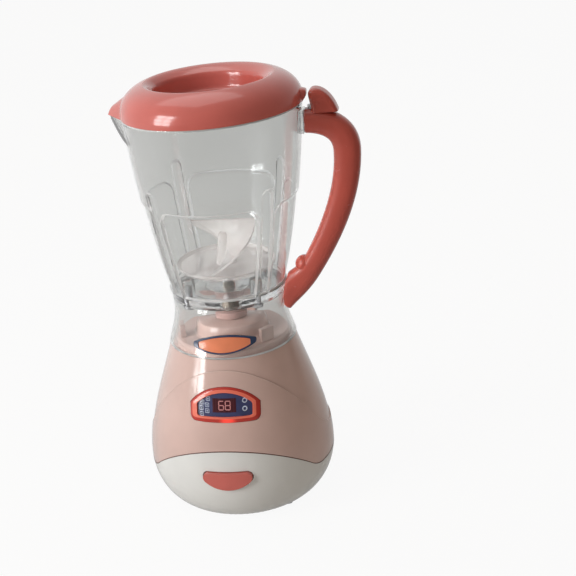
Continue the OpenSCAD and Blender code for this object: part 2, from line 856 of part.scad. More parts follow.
module motor_pinion() {
    color("goldenrod")
    translate([0, gear_distance, gear_z - 0.5])
        rotate(180 / pinion_teeth)
            linear_extrude(gear_t + 1)
                difference() {
                    rotate(90 - 360 / pinion_teeth * floor(pinion_teeth / 4))
                        gear_outline(pinion_teeth);
                    circle(d = motor_shaft_d + 2 * press_fit);
                }
}

module drive_gear() {
    color("ivory")
    difference() {
        union() {
            translate([0, 0, gear_z])
                linear_extrude(gear_t)
                    rotate(90 - 360 / gear_teeth * floor(gear_teeth / 4))
                        gear_outline(gear_teeth);
            translate([0, 0, gear_z])
                cylinder(h = gear_t + 3, d = drive_shaft_d + 5);
        }
        translate([0, 0, gear_z + gear_t - 1.6])
            difference() {
                cylinder(h = 5, r = gear_module * gear_teeth / 2 - 3);
                translate([0, 0, -1])
                    cylinder(h = 7, d = drive_shaft_d + 5);
            }
        translate([0, 0, gear_z - 1])
            cylinder(h = gear_t + 6, d = drive_shaft_d + 2 * press_fit);
    }
}

module drive_shaft() {
    color("silver")
    translate([0, 0, plate_z - shaft_foot_h + 1.5])
        cylinder(h = socket_z - 0.3 - plate_z + shaft_foot_h - 1.5, d = drive_shaft_d);
}

module shaft_bush() {
    color("goldenrod")
    difference() {
        translate([0, 0, deck_z - deck_t])
            cylinder(h = tower_h + deck_t - 0.4, d = bush_d);
        translate([0, 0, deck_z - deck_t - 1])
            cylinder(h = tower_h + deck_t + 4, d = drive_shaft_d + 2 * run_fit);
    }
}

module drive_coupling() {
    color("rosybrown")
    difference() {
        rotate_extrude()
            polygon([[0, coupling_z], [coupling_r, coupling_z], [coupling_r, coupling_top_z - 0.8],
                [coupling_r - 0.8, coupling_top_z], [0, coupling_top_z]]);
        translate([0, 0, socket_z])
            linear_extrude(coupling_h)
                cross_outline(gap);
        translate([0, 0, coupling_z - 1])
            cylinder(h = 4, d = drive_shaft_d + 2 * press_fit);
    }
}

// Display
module circuit_board() {
    color("darkgreen")
    difference() {
        translate([-board_w / 2, board_y, board_low_z])
            cube([board_w, board_t, board_top_z - board_low_z]);
        for (s = [-1, 1])
            for (z = [board_low_z + 2.6, board_top_z - 2.2])
                translate([s * board_hole_x, board_y + board_t + 1, z])
                    rotate([90, 0, 0])
                        cylinder(h = board_t + 2, d = board_pin_d + 2 * press_fit);
    }
}

module display_lamp() {
    lamp_z = display_z + lamp_d / 2 + 0.4;
    face_r = radius_at(base_line, lamp_z) - frame_back - 0.6;
    body_l = face_r + board_y - lamp_d / 2;
    color("red")
    translate([0, board_y - seat_gap, lamp_z])
        rotate([90, 0, 0]) {
            cylinder(h = 1, d = lamp_d + 0.8);
            cylinder(h = body_l - seat_gap, d = lamp_d);
            translate([0, 0, body_l - seat_gap])
                intersection() {
                    sphere(d = lamp_d);
                    cylinder(h = lamp_d, d = lamp_d + 1);
                }
        }
}

module display_frame() {
    color("salmon")
    difference() {
        union() {
            intersection() {
                base_layer(-frame_proud, frame_back - frame_flange_t / 2);
                to_front(display_start)
                    display_outline(0, 0);
            }
            intersection() {
                base_layer(frame_back - frame_flange_t, frame_back);
                to_front(display_start)
                    display_outline(-1.6, -1.6);
            }
        }
        intersection() {
            base_layer(-frame_proud - 1, panel_depth + panel_t + seat_gap);
            to_front(display_start)
                display_outline(frame_border, frame_side);
        }
    }
}

module display_panel() {
    color("darkslateblue")
    intersection() {
        base_layer(panel_depth, panel_depth + panel_t);
        to_front(display_start)
            display_outline(frame_border + seat_gap, frame_side + seat_gap);
    }
}

// Button
module start_button() {
    color("indianred")
    union() {
        intersection() {
            base_layer(-button_proud, base_wall + gap + 1);
            to_front(-flange_y - 6)
                button_outline(0);
        }
        intersection() {
            base_layer(base_wall + gap, base_wall + gap + 1.5);
            to_front(-flange_y - 8)
                button_outline(1.6);
        }
        translate([0, stem_end_y, button_axis_z])
            rotate([90, 0, 0])
                cylinder(h = stem_l + 1, d = stem_d);
    }
}

module switch_plunger() {
    color("black")
    translate([0, switch_y + 3, button_axis_z])
        rotate([90, 0, 0])
            cylinder(h = switch_y + 3 - stem_end_y - seat_gap, d = plunger_d);
}

module push_switch() {
    color("dimgray")
    difference() {
        translate([-switch_w / 2, switch_y, button_axis_z - switch_w / 2])
            cube([switch_w, switch_d, switch_w]);
        translate([0, switch_y + 3 + button_travel + gap, button_axis_z])
            rotate([90, 0, 0])
                cylinder(h = switch_d + 4, d = plunger_d + 2 * run_fit);
    }
}

// Jug
module jug_core(d) {
    line = inset(jug_line, d);
    rotate_extrude()
        polygon(concat([[0, line[0][1]]], line, [[line[len(line) - 1][0], rim_z + 5], [0, rim_z + 5]]));
}

module jug_layer(outer_d, inner_d) {
    rotate_extrude()
        polygon(concat(inset(jug_line, outer_d), reversed(inset(jug_line, inner_d))));
}

// Parts of the wall that keep their full thickness: a tongue on each face and on each pillar
module full_wall() {
    for (a = [0, 90, 180, 270])
        rotate(a)
            to_front(jug_base_r - jug_wall - 1) {
                translate([0, scallop_z + scallop_r])
                    circle(scallop_r);
                translate([-scallop_r, scallop_z + scallop_r])
                    square([2 * scallop_r, rim_z]);
            }
    for (a = corner_angles)
        rotate(a)
            to_front(jug_base_r + 6) {
                translate([0, pillar_z + pillar_w / 2])
                    circle(pillar_w / 2);
                translate([-pillar_w / 2, pillar_z + pillar_w / 2])
                    square([pillar_w, rim_z]);
            }
    for (a = corner_angles)
        rotate(a)
            to_front(jug_base_r - jug_wall - 2)
                for (s = [-1, 1])
                    translate([s * (pillar_w - pillar_rib_w) / 2 - pillar_rib_w / 2, 0])
                        square([pillar_rib_w, pillar_z + pillar_w / 2]);
}

// Flaring wedge of the pouring lip, moved in by d
module lip_wedge(d) {
    root_r = radius_at(jug_line, rim_z - lip_h);
    intersection() {
        rotate_extrude()
            polygon([[root_r - 8, rim_z - lip_h], [root_r - d, rim_z - lip_h + d],
                [root_r - d + lip_h * 0.78, rim_z + d], [root_r - d + lip_h * 0.78, rim_z + 5],
                [root_r - 8, rim_z + 5]]);
        translate([0, 0, rim_z - 2 * lip_h])
            linear_extrude(3 * lip_h)
                teardrop(rim_r - d - 1.4, lip_tip_r - d * 0.5, lip_reach - d);
    }
}

module jug() {
    color("lightcyan", 0.5)
    difference() {
        union() {
            difference() {
                union() {
                    jug_core(0);
                    lip_wedge(0);
                }
                difference() {
                    intersection() {
                        jug_layer(-2, relief);
                        translate([0, 0, floor_top_z + 1])
                            cylinder(h = notch_z - floor_top_z - 1, r = reach);
                    }
                    full_wall();
                }
                intersection() {
                    union() {
                        jug_core(jug_wall);
                        lip_wedge(jug_wall);
                    }
                    translate([0, 0, floor_top_z])
                        cylinder(h = rim_z, r = reach);
                }
            }
            intersection() {
                jug_core(jug_wall / 2);
                for (a = corner_angles)
                    rotate(a)
                        translate([jug_screw_ring_r, 0, jug_base_z])
                            cylinder(h = jug_floor_t + jug_boss_h, d = jug_boss_d);
            }
            rotate_extrude()
                polygon([[0, jug_base_z + 1], [floor_dome_r + 1.5, jug_base_z + 1],
                    [floor_dome_r, floor_top_z + 0.4],
                    [floor_dome_r - 3, dome_z - 0.3], [floor_dome_r - 5, dome_z], [0, dome_z]]);
            handle_bracket();
        }
        translate([0, 0, rim_z])
            cylinder(h = 10, r = reach);
        for (a = corner_angles)
            rotate(a)
                translate([jug_screw_ring_r, 0, jug_base_z - 1])
                    cylinder(h = screw_bite + 2, d = screw_d + 2 * press_fit);
        translate([0, 0, jug_base_z - 1])
            cylinder(h = jug_floor_t + floor_dome_h + 2, d = bush_d + 2 * press_fit);
    }
}

// Clear block and tongue on the wall that carry the handle
module handle_bracket() {
    root_x = radius_at(jug_line, handle_arm_z) - jug_wall / 2;
    arm_h = handle_t * 0.8;
    translate([root_x, -handle_w * 0.42, handle_arm_z - arm_h / 2])
        cube([handle_start_x - root_x - seat_gap, handle_w * 0.84, arm_h]);
    difference() {
        translate([root_x, -handle_w * 0.2, handle_arm_z - handle_t * 0.2])
            cube([handle_start_x - root_x + 8, handle_w * 0.4, handle_t * 0.4]);
        translate([handle_start_x + 4, 0, handle_arm_z - handle_t * 0.2 + 0.8])
            cylinder(h = handle_t, d = screw_d + 2 * press_fit);
    }
}

module jug_skirt() {
    inner = inset(skirt_line, jug_wall);
    color("lightcyan", 0.5)
    difference() {
        rotate_extrude()
            polygon(concat(skirt_line, [[jug_screw_ring_r - 4.2, jug_base_z],
                [jug_screw_ring_r - 4.2, jug_base_z - skirt_flange_t],
                [waist_r - jug_wall, jug_base_z - skirt_flange_t]],
                [for (p = reversed(inner))
                    if (p[1] < jug_base_z - skirt_flange_t && p[1] > shoulder_z + 0.3) p],
                [[shoulder_r - jug_wall * lean_factor, shoulder_z]]));
        for (a = corner_angles)
            rotate(a)
                translate([jug_screw_ring_r, 0, jug_base_z - skirt_flange_t - 1])
                    cylinder(h = skirt_flange_t + 2, d = screw_d + 0.4);
    }
}

module jug_screws() {
    color("silver")
    for (a = corner_angles)
        rotate(a)
            translate([jug_screw_ring_r, 0, jug_base_z - skirt_flange_t])
                screw(skirt_flange_t + screw_bite - 0.4, head_h = 1.6);
}

// Handle: rounded section swept along the path
section_n = 16;
function section_point(a) = [sign(cos(a)) * pow(abs(cos(a)), 0.8), sign(sin(a)) * pow(abs(sin(a)), 0.8)];
function half_thick(s) = handle_t * lookup(s, [[0, 0.44], [0.3, 0.5], [0.6, 0.46], [0.9, 0.4], [1, 0.16]]);
function half_wide(s) = handle_w * lookup(s, [[0, 0.46], [0.3, 0.5], [0.7, 0.44], [1, 0.3]]);
module handle_sweep() {
    last = len(handle_path) - 1;
    points = [for (i = [0:last]) let (c = chord(handle_path, i), t = c / norm(c), s = i / last)
        for (k = [0:section_n - 1]) let (q = section_point(360 * k / section_n))
            [handle_path[i][0] - t[1] * q[0] * half_thick(s), q[1] * half_wide(s),
                handle_path[i][1] + t[0] * q[0] * half_thick(s)]];
    ring = [for (k = [0:section_n - 1]) k];
    sides = [for (i = [0:last - 1]) for (k = ring) let (a = i * section_n, n = (k + 1) % section_n)
        each [[a + k, a + n, a + section_n + k], [a + n, a + section_n + n, a + section_n + k]]];
    polyhedron(points, concat(sides, [reversed(ring)], [[for (k = ring) last * section_n + k]]));
}

module handle() {
    color("indianred")
    difference() {
        union() {
            handle_sweep();
            translate([stop_at[0], 0, stop_at[1]])
                sphere(stop_r, $fn = 32);
        }
        jug_core(-seat_gap);
        rotate_extrude()
            polygon(concat(inset(skirt_line, -seat_gap), [[0, jug_base_z + 3], [0, shoulder_z]]));
        translate([handle_start_x - 20, -handle_w * 0.2 - seat_gap, handle_arm_z - handle_t * 0.2 - seat_gap])
            cube([28 + seat_gap, handle_w * 0.4 + 2 * seat_gap, handle_t * 0.4 + 2 * seat_gap]);
        translate([0, -handle_w, handle_top_z])
            cube([2 * reach, 2 * handle_w, 20]);
        translate([handle_start_x + 4, 0, handle_arm_z])
            cylinder(h = 20, d = screw_d + 2 * press_fit);
    }
}

module thumb_rest() {
    seat = handle_top_z + seat_gap;
    nose_r = thumb_h * 0.24;
    edge_r = thumb_h * 0.13;
    mid_x = thumb_nose_x + nose_r;
    color("indianred")
    difference() {
        hull()
            for (s = [-1, 1]) {
                translate([mid_x, s * (thumb_w / 2 - nose_r), seat + thumb_h - 1.6 * nose_r])
                    sphere(nose_r, $fn = 24);
                translate([mid_x + nose_r * 0.6, s * (thumb_w / 2 - nose_r), seat])
                    sphere(nose_r, $fn = 24);
                for (a = [0:18:90])
                    translate([mid_x + (thumb_l - nose_r - edge_r) * cos(a), s * (thumb_w / 2 - edge_r),
                        seat + (thumb_h - edge_r) * sin(a)])
                        sphere(edge_r, $fn = 20);
            }
        translate([0, -thumb_w, seat - 20])
            cube([2 * reach, 2 * thumb_w, 20]);
        translate([handle_start_x + 4, 0, seat - 1])
            cylinder(h = 3.2, d = screw_head_d + 0.6);
    }
}

module handle_screw() {
    color("silver")
    translate([handle_start_x + 4, 0, handle_top_z])
        rotate([180, 0, 0])
            screw(handle_top_z - handle_arm_z + handle_t * 0.2 - 1.2);
}

module badge() {
    color("orange")
    union() {
        intersection() {
            skirt_layer(seat_gap, badge_t);
            to_front(waist_r / 2)
                badge_outline(0, 0);
        }
        intersection() {
            skirt_layer(seat_gap, badge_t + 0.4);
            to_front(waist_r / 2)
                difference() {
                    badge_outline(0, 0);
                    badge_outline(badge_border, badge_end);
                }
        }
    }
}

// Layer outside the skirt between two heights over its surface
module skirt_layer(low, high) {
    rotate_extrude()
        polygon(concat(inset(skirt_line, -high), reversed(inset(skirt_line, -low))));
}

// Oval of two equal arcs with blunt ends, moved in by d along the arcs and by end_d at the ends
module badge_outline(d, end_d) {
    tall = badge_h / 2;
    arc_r = (pow(badge_w * 0.56, 2) + pow(tall, 2)) / (2 * tall);
    intersection() {
        translate([0, badge_z])
            circle(badge_w / 2 - end_d);
        translate([0, badge_z + arc_r - tall])
            circle(arc_r - d);
        translate([0, badge_z - arc_r + tall])
            circle(arc_r - d);
    }
}

module rotor_bush() {
    color("goldenrod")
    difference() {
        translate([0, 0, jug_base_z])
            cylinder(h = dome_z - jug_base_z - 0.2, d = bush_d);
        translate([0, 0, jug_base_z - 1])
            cylinder(h = dome_z - jug_base_z + 2, d = rotor_shaft_d + 2 * run_fit);
    }
}

// Rotor
module rotor_shaft() {
    color("silver")
    translate([0, 0, coupling_top_z + 1])
        cylinder(h = disc_z + 8 - coupling_top_z - 1, d = rotor_shaft_d);
}

module driven_coupling() {
    barrel_z = coupling_top_z + gap;
    barrel_top = jug_base_z - 0.8;
    wing_h = (barrel_top - barrel_z) * 0.55;
    color("rosybrown")
    difference() {
        union() {
            translate([0, 0, barrel_z])
                cylinder(h = barrel_top - barrel_z, r = driven_r);
            translate([0, 0, socket_z + gap])
                linear_extrude(barrel_z - socket_z)
                    cross_outline(0);
            for (a = [0, 90, 180, 270])
                rotate([90, 0, a])
                    linear_extrude(2, center = true)
                        polygon([[driven_r - 1, barrel_top - wing_h], [wing_r - 2, barrel_top - wing_h * 1.3],
                            [wing_r, barrel_top - wing_h * 0.6], [driven_r - 1, barrel_top]]);
        }
        translate([0, 0, coupling_top_z + 0.8])
            cylinder(h = 40, d = rotor_shaft_d + 2 * press_fit);
    }
}

module shaft_collar() {
    color("silver")
    difference() {
        rotate_extrude()
            polygon([[0, collar_z], [collar_d / 2, collar_z], [collar_d / 2, collar_z + collar_h - 0.8],
                [collar_d / 2 - 0.8, collar_z + collar_h], [0, collar_z + collar_h]]);
        translate([0, 0, collar_z - 1])
            cylinder(h = collar_h + 2, d = rotor_shaft_d + 2 * press_fit);
    }
}

module swirl_rotor() {
    color("mistyrose", 0.5)
    difference() {
        union() {
            rotate_extrude()
                polygon([[0, disc_z - 1], [rotor_hub_d / 2 - 1, disc_z - 1], [rotor_hub_d / 2 + 2, disc_z],
                    [rotor_r - 1.6, disc_z], [rotor_r, disc_z + 1.6], [rotor_r, disc_z + 2.8],
                    [rotor_r - 0.8, disc_z + 2.8], [rotor_r - 2.2, disc_z + rotor_disc_t],
                    [rotor_hub_d / 2, disc_z + rotor_disc_t], [rotor_tip_d / 2, disc_z + vane_h * 0.72],
                    [rotor_tip_d / 2 - 1, disc_z + vane_h * 0.76], [0, disc_z + vane_h * 0.76]]);
            translate([0, 0, disc_z + rotor_disc_t / 2])
                rotate(-vane_twist)
                    linear_extrude(vane_h, twist = -vane_twist, scale = vane_taper,
                        slices = 28, segments = 20)
                        square([2 * vane_r, vane_t], center = true);
        }
        translate([0, 0, disc_z - 2])
            cylinder(h = 10.2, d = rotor_shaft_d + 2 * press_fit);
    }
}

// Lid
module lid() {
    lid_under = inset(lid_side, lid_wall);
    hollow_z = lid_z + lid_wall + lid_r * tan(lid_tilt);
    color("indianred")
    difference() {
        union() {
            intersection() {
                tilted_lid()
                    polygon(concat([[0, lid_z - 3], [lid_r, lid_z - 3]], lid_line,
                        [[dish_r - 2, dish_z + 1.6], [dish_r - 4, dish_z], [0, dish_z]]));
                translate([0, 0, lid_z])
                    cylinder(h = 2 * lid_h, r = lid_r + 4);
            }
            lid_spout();
            translate([lid_r - 3, -lid_tab_w / 2, lid_z])
                cube([3 + lid_tab_l, lid_tab_w, 6]);
            translate([0, 0, lid_z - plug_h])
                cylinder(h = plug_h + 1, r = plug_r);
        }
        tilted_lid()
            polygon(concat([[dish_r + lid_wall + 1.2, hollow_z], [plug_r - 0.4, hollow_z]],
                [for (p = lid_under) if (p[1] > hollow_z + 0.6 && p[0] > crest_r + 1) p],
                [[dish_r + lid_wall + 1.4, crest_z - lid_wall - 1]]));
        translate([0, 0, lid_z])
            rotate_extrude()
                translate([dish_r + lid_wall, -1])
                    square([plug_r - 2 * lid_wall - dish_r, hollow_z - lid_z + 2.4]);
        translate([0, 0, lid_z - plug_h - 1])
            cylinder(h = plug_h + 1, r = plug_r - lid_wall);
    }
}

// Body turned from an outline, its top rising towards the handle
module tilted_lid() {
    translate([0, 0, lid_z])
        rotate([0, -lid_tilt, 0])
            rotate_extrude()
                translate([0, -lid_z])
                    children();
}

// Beak over the pouring lip
module lid_spout() {
    intersection() {
        translate([-spout_reach, 0, lid_z + 0.2])
            rotate([0, 90 + spout_lean, 0])
                cylinder(h = spout_l, r1 = spout_tip_r, r2 = spout_tip_r + spout_flare * spout_l);
        translate([-2 * lid_r, -lid_r, lid_z])
            cube([2 * lid_r, 2 * lid_r, lid_h]);
    }
}

base_tray();
base_shell();
battery_cover();
cover_screw();
battery_cells();
battery_contacts();
base_screws();
gear_plate();
plate_screws();
motor();
shaft_bush();
circuit_board();
display_lamp();
display_frame();
display_panel();
push_switch();
drive_coupling();
drive_shaft();
drive_gear();
motor_shaft();
motor_pinion();
jug();
jug_skirt();
jug_screws();
handle();
thumb_rest();
handle_screw();
badge();
rotor_bush();
rotor_shaft();
driven_coupling();
shaft_collar();
swirl_rotor();
lid();
start_button();
switch_plunger();
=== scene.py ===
"""Toy juicer: battery base with display and button, clear jug with a swirl rotor, curved handle and lid."""

import logging
import math
from dataclasses import dataclass, field
from enum import Enum
from functools import lru_cache
from typing import Callable, Sequence

import bmesh
import bpy
from mathutils import Matrix, Vector
from mathutils.kdtree import KDTree


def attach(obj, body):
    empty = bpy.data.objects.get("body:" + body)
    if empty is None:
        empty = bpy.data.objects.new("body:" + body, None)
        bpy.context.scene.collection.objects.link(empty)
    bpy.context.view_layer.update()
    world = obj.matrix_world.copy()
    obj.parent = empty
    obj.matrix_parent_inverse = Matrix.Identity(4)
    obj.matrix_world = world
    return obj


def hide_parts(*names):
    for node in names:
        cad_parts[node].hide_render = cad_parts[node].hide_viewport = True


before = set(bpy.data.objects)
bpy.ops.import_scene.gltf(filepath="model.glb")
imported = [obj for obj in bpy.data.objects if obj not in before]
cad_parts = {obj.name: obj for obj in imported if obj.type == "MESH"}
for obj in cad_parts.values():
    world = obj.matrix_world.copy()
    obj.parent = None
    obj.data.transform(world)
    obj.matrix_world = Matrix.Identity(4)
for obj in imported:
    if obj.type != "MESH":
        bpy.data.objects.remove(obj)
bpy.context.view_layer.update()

logging.basicConfig(level=logging.INFO, format="%(message)s")
log = logging.getLogger("juicer")

# Sizes are in millimetres. Those that clean a mesh, and the studio's, are in metres.
MM = 0.001
AXIS_R = 0.02
MERGE_M = 2e-6
SLIVER_M = 1e-7
OPEN_ANGLE = 4.0
WHITE = (1.0, 1.0, 1.0)
Point2 = tuple[float, float]
Point3 = tuple[float, float, float]
Color = tuple[float, float, float]
Insets = tuple[float, float, float, float]
Curve = tuple[Point2, Point2, Point2, Point2]
Socket = bpy.types.NodeSocket
Value = float | Sequence[float] | Socket
Sockets = dict[str | int, Value]


class FinishKind(Enum):
    """How a surface answers light."""

    MOULDED = "moulded"
    CLEAR = "clear"
    METAL = "metal"
    GLOW = "glow"


def linear(color: Color) -> tuple[float, float, float, float]:
    """Turn a display colour of 0 to 255 into a linear colour with alpha.

    Args:
        color: Red, green and blue as seen on a display.

    Returns:
        Linear red, green, blue and an alpha of one.
    """
    parts = [c / 255 for c in color]
    lin = [c / 12.92 if c <= 0.04045 else ((c + 0.055) / 1.055) ** 2.4 for c in parts]
    return (*lin, 1.0)


@dataclass
class Graph:
    """Nodes of a material or of the world."""

    tree: bpy.types.NodeTree

    def feed(self, node: bpy.types.Node, sockets: Sockets) -> None:
        """Set or link inputs of a node.

        Args:
            node: The node.
            sockets: Constant or source of each input.
        """
        for name, value in sockets.items():
            if isinstance(value, Socket):
                self.tree.links.new(value, node.inputs[name])
            else:
                node.inputs[name].default_value = value

    def add(self, kind: str, sockets: Sockets, **settings: str | int | bool) -> bpy.types.Node:
        """Add a node.

        Args:
            kind: Its type, without the prefix of shader nodes.
            sockets: Constant or source of each input.
            settings: Its further properties.

        Returns:
            The node.
        """
        node = self.tree.nodes.new(f"ShaderNode{kind}")
        for name, value in settings.items():
            setattr(node, name, value)
        self.feed(node, sockets)
        return node

    def place(self, kind: str) -> Socket:
        """Texture coordinate of a kind."""
        return self.add("TexCoord", {}).outputs[kind]

    def noise(self, place: Socket, scale: float, detail: float) -> Socket:
        """Noise over a coordinate."""
        return self.add("TexNoise", {"Vector": place, "Scale": scale, "Detail": detail}).outputs["Fac"]

    def span(self, value: Socket, start: Point2, end: Point2, smooth: bool = False) -> Socket:
        """Map a value from one range to another.

        Args:
            value: The value.
            start: Range that it comes from.
            end: Range that it goes to.
            smooth: Whether the change is eased at both ends.

        Returns:
            The socket with the mapped value.
        """
        kind = "SMOOTHSTEP" if smooth else "LINEAR"
        node = self.add("MapRange", {"Value": value}, interpolation_type=kind)
        self.feed(node, dict(zip(("From Min", "From Max", "To Min", "To Max"), start + end)))
        return node.outputs["Result"]

    def ramp(self, value: Socket, *stops: tuple[float, Color]) -> Socket:
        """Blend two colours over a value.

        Args:
            value: The value.
            stops: Place and linear colour of both ends.

        Returns:
            The socket with the colour.
        """
        node = self.add("ValToRGB", {"Fac": value})
        for element, (place, color) in zip(node.color_ramp.elements, stops):
            element.position = place
            element.color = (*color, 1.0)
        return node.outputs["Color"]

    def combine(self, operation: str, first: Value, second: Value) -> Socket:
        """Join two values, held between 0 and 1."""
        return self.add("Math", {0: first, 1: second}, operation=operation, use_clamp=True).outputs[0]

    def mix(self, share: Socket, first: Socket, second: Socket) -> Socket:
        """Mix two shaders."""
        return self.add("MixShader", {"Fac": share, 1: first, 2: second}).outputs["Shader"]


@dataclass(frozen=True)
class Texture:
    """Values that all finishes share."""

    tint_detail: float = 4.0
    tint_low: float = 0.3
    tint_high: float = 0.7
    pale_share: float = 0.5
    gloss_scale: float = 220.0
    gloss_detail: float = 6.0
    gloss_from: Point2 = (0.25, 0.75)
    gloss_span: Point2 = (0.85, 1.2)
    even: Point3 = (1.0, 1.0, 1.0)
    turned: Point3 = (0.15, 0.15, 6.0)
    grain_detail: float = 2.0
    grain_depth: float = 0.2
    edge_r: float = 0.35
    edge_samples: int = 4
    coat_rough: float = 0.08
    anisotropy: float = 0.4
    # Colour and reach of the painted glow round a lamp.
    lamp_color: Color = (255, 70, 56)
    lamp_reach: float = 7.0


TEXTURE = Texture()


@dataclass(frozen=True)
class Finish:
    """A surface finish that becomes a node material."""

    name: str
    color: Color
    slot: str
    kind: FinishKind = FinishKind.MOULDED
    rough: float = 0.3
    shade: float = 0.06
    mottle: float = 60.0
    grain: float = 1800.0
    bump: float = 0.03
    coat: float = 0.0
    glow: float = 0.0
    ior: float = 1.3
    through: float = 1.0
    lamp_at: Point3 | None = None

    def material(self) -> bpy.types.Material:
        """Return the material of this finish, made on first use.

        Returns:
            A node material with colour variation, roughness variation and fine relief.
        """
        known = bpy.data.materials.get(f"{self.name}_finish")
        if known is not None:
            return known
        made = bpy.data.materials.new(f"{self.name}_finish")
        made.use_nodes = True
        graph = Graph(made.node_tree)
        graph.feed(made.node_tree.nodes["Principled BSDF"], self._sockets(graph))
        made.diffuse_color = linear(self.color)
        return made

    def _sockets(self, graph: Graph) -> Sockets:
        """Lay out colour, gloss and relief, each with some variation, and what the kind of finish adds.

        Args:
            graph: Nodes of the material.

        Returns:
            Constant or source of the surface shader's inputs.
        """
        look, metal, clear = TEXTURE, self.kind is FinishKind.METAL, self.kind is FinishKind.CLEAR
        place = graph.place("Object")
        base = linear(self.color)[:3]
        dark = tuple(c * (1 - self.shade) for c in base)
        pale = tuple(min(1.0, c * (1 + self.shade * look.pale_share)) for c in base)
        cloud = graph.noise(place, self.mottle, look.tint_detail)
        drawn = graph.add("Mapping", {"Vector": place, "Scale": look.turned if metal else look.even})
        marks = graph.noise(drawn.outputs["Vector"], look.gloss_scale, look.gloss_detail)
        grain = graph.noise(place, self.grain, look.grain_detail)
        relief = {"Strength": self.bump, "Distance": look.grain_depth * MM, "Height": grain}
        if not clear:
            soft = graph.add("Bevel", {"Radius": look.edge_r * MM}, samples=look.edge_samples)
            relief["Normal"] = soft.outputs["Normal"]
        sockets = {
            "Base Color": graph.ramp(cloud, (look.tint_low, dark), (look.tint_high, pale)),
            "Roughness": graph.span(marks, look.gloss_from, tuple(self.rough * c for c in look.gloss_span)),
            "Normal": graph.add("Bump", relief).outputs["Normal"],
        }
        if self.coat > 0:
            sockets |= {"Coat Weight": self.coat, "Coat Roughness": look.coat_rough}
        if clear:
            sockets |= {"Transmission Weight": self.through, "IOR": self.ior}
        if metal:
            sockets |= {"Metallic": 1.0, "Anisotropic": look.anisotropy}
        if self.kind is FinishKind.GLOW:
            sockets |= {"Emission Color": linear(self.color), "Emission Strength": self.glow}
        # Painted glow: emission that fades with distance from a lamp, standing in for the lamp's light on the
        # part.
        if self.lamp_at is not None:
            lamp = tuple(c * MM for c in self.lamp_at)
            away = graph.add("VectorMath", {0: place, 1: lamp}, operation="DISTANCE").outputs["Value"]
            painted_glow = graph.span(away, (0.0, look.lamp_reach * MM), (self.glow, 0.0), smooth=True)
            sockets |= {"Emission Color": linear(look.lamp_color), "Emission Strength": painted_glow}
        return sockets


TRAY_WHITE = Finish("tray_white", (223, 223, 220), "tray_white", rough=0.16, shade=0.03, coat=0.3)
COVER_WHITE = Finish("cover_white", (214, 214, 213), "cover_white", shade=0.04)
SHELL_PINK = Finish("shell_pink", (209, 178, 168), "shell_pink", rough=0.14, shade=0.05, coat=0.6)
COUPLING_PINK = Finish("coupling_pink", (202, 166, 158), "coupling_pink", rough=0.35)
CORAL = Finish("coral", (201, 102, 92), "coral", rough=0.17, coat=0.4)
HANDLE_CORAL = Finish("handle_coral", (184, 82, 69), "coral", rough=0.24, shade=0.08, coat=0.2)
CLEAR = Finish("clear_plastic", (240, 242, 242), "clear_plastic", FinishKind.CLEAR, rough=0.006, shade=0.02,
               mottle=25.0, grain=45.0, bump=0.01, coat=1.0)
# Painted glints: half-opaque pale white on the clear jug's relief edges.
CLEAR_GLINT = Finish("clear_painted_glint", (250, 251, 252), "clear_plastic", FinishKind.CLEAR, rough=0.2, shade=0.02,
                    mottle=25.0, grain=45.0, bump=0.01, through=0.5)
# Painted highlight: opaque pale band where the clear plastic's edges catch light, on the jug's rim and the
# skirt's foot.
CLEAR_SHEEN = Finish("clear_painted_sheen", (216, 216, 214), "clear_plastic", rough=0.5, shade=0.04)
CLEAR_ROTOR = Finish("clear_rotor", (252, 248, 246), "clear_rotor", FinishKind.CLEAR, rough=0.04, shade=0.03,
                     mottle=25.0, grain=60.0, bump=0.02, through=0.72)
BEZEL = Finish("bezel_salmon", (236, 118, 96), "bezel_salmon", rough=0.18, coat=0.3)
# Darker red bevel of the bezel, with a painted red glow round the display lamp.
BEZEL_GLOW_EDGE = Finish("bezel_edge_painted_glow", (186, 52, 40), "bezel_salmon", rough=0.2, coat=0.3, glow=1.6,
                    lamp_at=(2.0, -49.5, 64.6))
PANEL = Finish("panel_blue", (62, 66, 104), "panel_blue", rough=0.12, shade=0.2, mottle=160.0, coat=0.4)
WINDOW = Finish("window_red", (70, 26, 34), "panel_blue", rough=0.1, shade=0.2)
DIGIT = Finish("digit_red", (196, 130, 130), "lamp_red", FinishKind.GLOW, glow=0.12)
LAMP_GLOW = Finish("lamp_glow", (255, 60, 40), "lamp_red", FinishKind.GLOW, glow=2.0)
MARK = Finish("mark_pale", (206, 216, 236), "panel_blue", rough=0.25)
BADGE_FIELD = Finish("badge_orange", (238, 140, 100), "badge_orange", rough=0.2, shade=0.08, mottle=120.0,
                     coat=0.3)
BADGE_EDGE = Finish("badge_edge", (52, 66, 96), "badge_orange", rough=0.2, shade=0.12, coat=0.3)
BOARD = Finish("board_green", (30, 92, 52), "board_green", rough=0.4, shade=0.15, mottle=300.0)
SWITCH = Finish("switch_black", (24, 24, 26), "switch_black", rough=0.4)
GEAR = Finish("gear_ivory", (228, 222, 204), "gear_ivory", rough=0.4)
BRASS = Finish("brass", (196, 156, 84), "brass", FinishKind.METAL)
BRONZE = Finish("bush_bronze", (150, 140, 128), "brass", FinishKind.METAL, rough=0.45)
STEEL = Finish("steel", (206, 208, 211), "steel", FinishKind.METAL, rough=0.38)
SCREW = Finish("screw_steel", (190, 190, 192), "screw_steel", FinishKind.METAL, rough=0.42)
# Painted shade: dark strip standing in for the shadow in the gap between tray and shell.
SEAM_SHADE = Finish("seam_painted_shade", (96, 64, 54), "shell_pink", rough=0.5)
